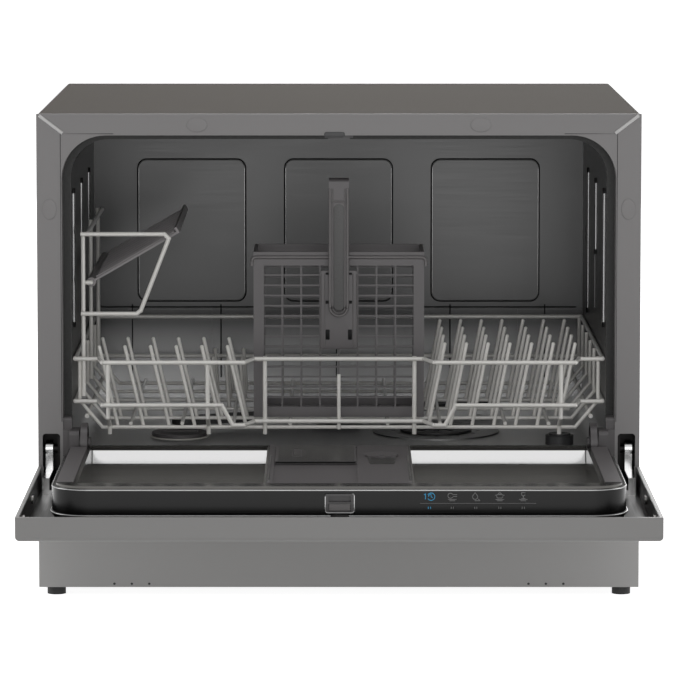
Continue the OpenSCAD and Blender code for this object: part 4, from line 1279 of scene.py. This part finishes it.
@dataclass
class ControlStrip:
    """The pictograms and lines on the door's control strip."""

    face_mm: float = -271.12
    marks_x_mm: tuple[float, ...] = (77.0, 96.5, 116.5, 137.0, 157.0)
    marks_z_mm: float = 133.2
    stroke_mm: float = 0.34
    tick_x_mm: Flat = (-0.9, 0.9)
    tick_z_mm: float = 123.6
    tick_half_mm: float = 0.9
    line_x_mm: Flat = (69.0, 168.0)
    line_z_mm: float = 127.4
    line_r_mm: float = 0.2

    def strokes(self, mark: Mark) -> list[list[Flat]]:
        """The strokes of one pictogram, in millimetres about its middle.

        Args:
            mark: Which pictogram.

        Returns:
            Lists of points, each one stroke.
        """
        tray = [[(-3.6, -2.4), (3.6, -2.4)], [(-2.4, -3.5), (2.4, -3.5)]]
        if mark is Mark.CLOCK:
            ring = arc((1.4, 0.0), 3.2, -150, 150, 20)
            hands = [(1.4, 1.8), (1.4, 0.0), (2.8, -0.9)]
            one = [[(-3.4, 2.6), (-3.4, -2.2)], [(-4.6, 1.6), (-3.4, 2.6)]]
            return [ring, hands, *one, arc((1.4, 0.0), 2.2, 90, 180, 8)]
        if mark is Mark.PLATES:
            rows = [[(0.6, 1.8), (4.0, 1.8)], [(0.6, 0.2), (4.0, 0.2)]]
            return [arc((-1.6, 0.8), 2.2, 30, 330, 12), *rows, *tray]
        if mark is Mark.DROP:
            drop = arc((-0.6, -0.2), 2.2, 150, 390, 16) + [(-0.6, 3.4)]
            drop += arc((-0.6, -0.2), 2.2, 150, 151, 1)
            return [drop, [(-1.0, -3.5), (3.6, -3.5)], [(2.2, -2.0), (3.6, -3.5)]]
        if mark is Mark.POT:
            half = [(2.6, 1.8), (2.6, -0.4), (1.8, -1.2)]
            pot = [(-x, z) for x, z in half] + half[::-1] + [(-2.6, 1.8)]
            grips = [[(-4.0, 1.2), (-2.6, 1.2)], [(2.6, 1.2), (4.0, 1.2)]]
            return [pot, *grips, arc((0.0, 1.9), 1.4, 20, 160, 8), *tray]
        bowl = [(-1.6, 3.4), (-1.4, 1.4), (0.0, 0.6), (1.4, 1.4), (1.6, 3.4), (-1.6, 3.4)]
        return [bowl, [(0.0, 0.6), (0.0, -1.6)], [(-1.6, -1.6), (1.6, -1.6)], *tray]

    def build(self) -> None:
        """Builds the pictograms, the small ticks under them and the line between."""
        for x, mark in zip(self.marks_x_mm, Mark):
            draft = Draft()
            for stroke in self.strokes(mark):
                line = [(x + px, self.marks_z_mm + pz) for px, pz in stroke]
                draft.tube(standing(line, self.face_mm), self.stroke_mm * MM, 6)
            for dx in self.tick_x_mm:
                ends = (self.tick_z_mm - self.tick_half_mm, self.tick_z_mm + self.tick_half_mm)
                draft.tube(standing([(x + dx, z) for z in ends], self.face_mm), self.stroke_mm * MM, 6)
            finish = BLUE_MARK if mark is Mark.CLOCK else GREY_MARK
            draft.build(f"mark_{mark.value}", finish, "door", "strip")
        line = Draft()
        line.tube(standing([(x, self.line_z_mm) for x in self.line_x_mm], self.face_mm),
                  self.line_r_mm * MM, 6)
        line.build("mark_line", GREY_MARK, "door", "strip")


# ---- Studio ----


@dataclass(frozen=True)
class Lamp:
    """One soft square lamp: its name, place and side in metres, and its power in watts."""

    name: str
    place: Point
    side: float
    watts: float

    def hang(self, aim: Point) -> None:
        """Hangs the lamp in its place.

        Args:
            aim: What it points at, in metres.
        """
        data = bpy.data.lights.new(self.name, "AREA")
        data.size = self.side
        data.energy = self.watts
        lamp = add_object(self.name, data)
        lamp.location = self.place
        lamp.rotation_euler = (Vector(aim) - Vector(self.place)).to_track_quat("-Z", "Y").to_euler()


@dataclass
class Studio:
    """The floor, the soft light and the camera at the photograph's angle."""

    focal_px: float = 4347.0
    principal_px: Flat = (334.5, 247.6)
    pitch_deg: float = 5.605
    eye_mm: Point = (-4.0, -3940.0, 706.7)
    sensor_mm: float = 36.0
    see_to: float = 200.0
    floor_reach: float = 60.0
    floor_grey: float = 0.8
    floor_glow: float = 0.9
    sky_light: float = 0.32
    aim: Point = (0.0, 0.0, 0.2)
    lamps: tuple[Lamp, ...] = (
        Lamp("front_soft", (0.4, -4.6, 1.0), 2.6, 40.0),
        Lamp("top_soft", (-0.2, 0.4, 3.2), 2.0, 36.0),
        Lamp("left_soft", (-3.4, 0.2, 0.9), 2.0, 34.0),
        Lamp("right_soft", (3.4, 0.2, 0.9), 2.0, 34.0),
        Lamp("rear_soft", (0.6, 3.8, 1.0), 2.0, 34.0),
    )

    def camera(self) -> None:
        """Places the camera."""
        data = bpy.data.cameras.new("camera")
        data.sensor_width = self.sensor_mm
        data.lens = self.focal_px / PHOTO_PX * self.sensor_mm
        data.shift_x = (PHOTO_PX / 2 - self.principal_px[0]) / PHOTO_PX
        data.shift_y = (self.principal_px[1] - PHOTO_PX / 2) / PHOTO_PX
        data.clip_end = self.see_to
        eye = add_object("camera", data)
        eye.location = at(*self.eye_mm)
        eye.rotation_euler = (math.radians(90 - self.pitch_deg), 0.0, 0.0)
        bpy.context.scene.camera = eye

    def floor(self) -> None:
        """Builds a pale floor that shows white to the camera and in gloss, and keeps its shadow."""
        mesh = bpy.data.meshes.new("floor")
        far = self.floor_reach
        mesh.from_pydata([(-far, -far, 0), (far, -far, 0), (far, far, 0), (-far, far, 0)],
                         [], [(0, 1, 2, 3)])
        floor = add_object("floor", mesh)
        sheet = ShaderSheet("floor")
        sheet.set("Base Color", (self.floor_grey, self.floor_grey, self.floor_grey, 1.0))
        sheet.set("Roughness", 0.9)
        sheet.set("Specular IOR Level", 0.0)
        lift = sheet.add("ShaderNodeMath", Value=self.seen_ray(sheet.tree))
        lift.operation = "MULTIPLY"
        lift.inputs[1].default_value = self.floor_glow
        glow = sheet.add("ShaderNodeEmission", Strength=lift.outputs["Value"])
        both = sheet.add("ShaderNodeAddShader")
        sheet.feed(both.inputs[0], sheet.shader.outputs["BSDF"])
        sheet.feed(both.inputs[1], glow.outputs["Emission"])
        sheet.feed(sheet.tree.nodes["Material Output"].inputs["Surface"], both.outputs["Shader"])
        mesh.materials.append(sheet.material)

    def seen_ray(self, tree: bpy.types.NodeTree) -> bpy.types.NodeSocket:
        """A value of 1 for rays from the camera, gloss and glass.

        Args:
            tree: The node tree to add it to.

        Returns:
            The socket with the value.
        """
        path = tree.nodes.new("ShaderNodeLightPath")
        either = path.outputs["Is Camera Ray"]
        for name in ("Is Glossy Ray", "Is Transmission Ray"):
            most = tree.nodes.new("ShaderNodeMath")
            most.operation = "MAXIMUM"
            tree.links.new(either, most.inputs[0])
            tree.links.new(path.outputs[name], most.inputs[1])
            either = most.outputs["Value"]
        return either

    def world(self) -> None:
        """Fills the room with plain light, white where the camera or gloss sees it."""
        world = bpy.data.worlds.new("studio")
        bpy.context.scene.world = world
        world.use_nodes = True
        nodes, links = world.node_tree.nodes, world.node_tree.links
        back = nodes["Background"]
        back.inputs["Color"].default_value = (1.0, 1.0, 1.0, 1.0)
        level = nodes.new("ShaderNodeMapRange")
        level.inputs["To Min"].default_value = self.sky_light
        level.inputs["To Max"].default_value = 1.0
        links.new(self.seen_ray(world.node_tree), level.inputs["Value"])
        links.new(level.outputs["Result"], back.inputs["Strength"])

    def build(self) -> None:
        """Builds the whole studio."""
        self.camera()
        self.floor()
        self.world()
        for lamp in self.lamps:
            lamp.hang(self.aim)
        bpy.context.scene.view_settings.view_transform = "Standard"


def main() -> None:
    """Builds the studio, dresses the parts and adds the fine pieces."""
    logging.basicConfig(level=logging.INFO, format="%(name)s: %(message)s")
    Studio().build()
    dress_parts(DRESSES)
    for assembly in (Case(), Tub(), Door(), CutleryBasket(), ControlStrip()):
        LOG.info("building %s", type(assembly).__name__)
        assembly.build()


if __name__ == "__main__":
    main()
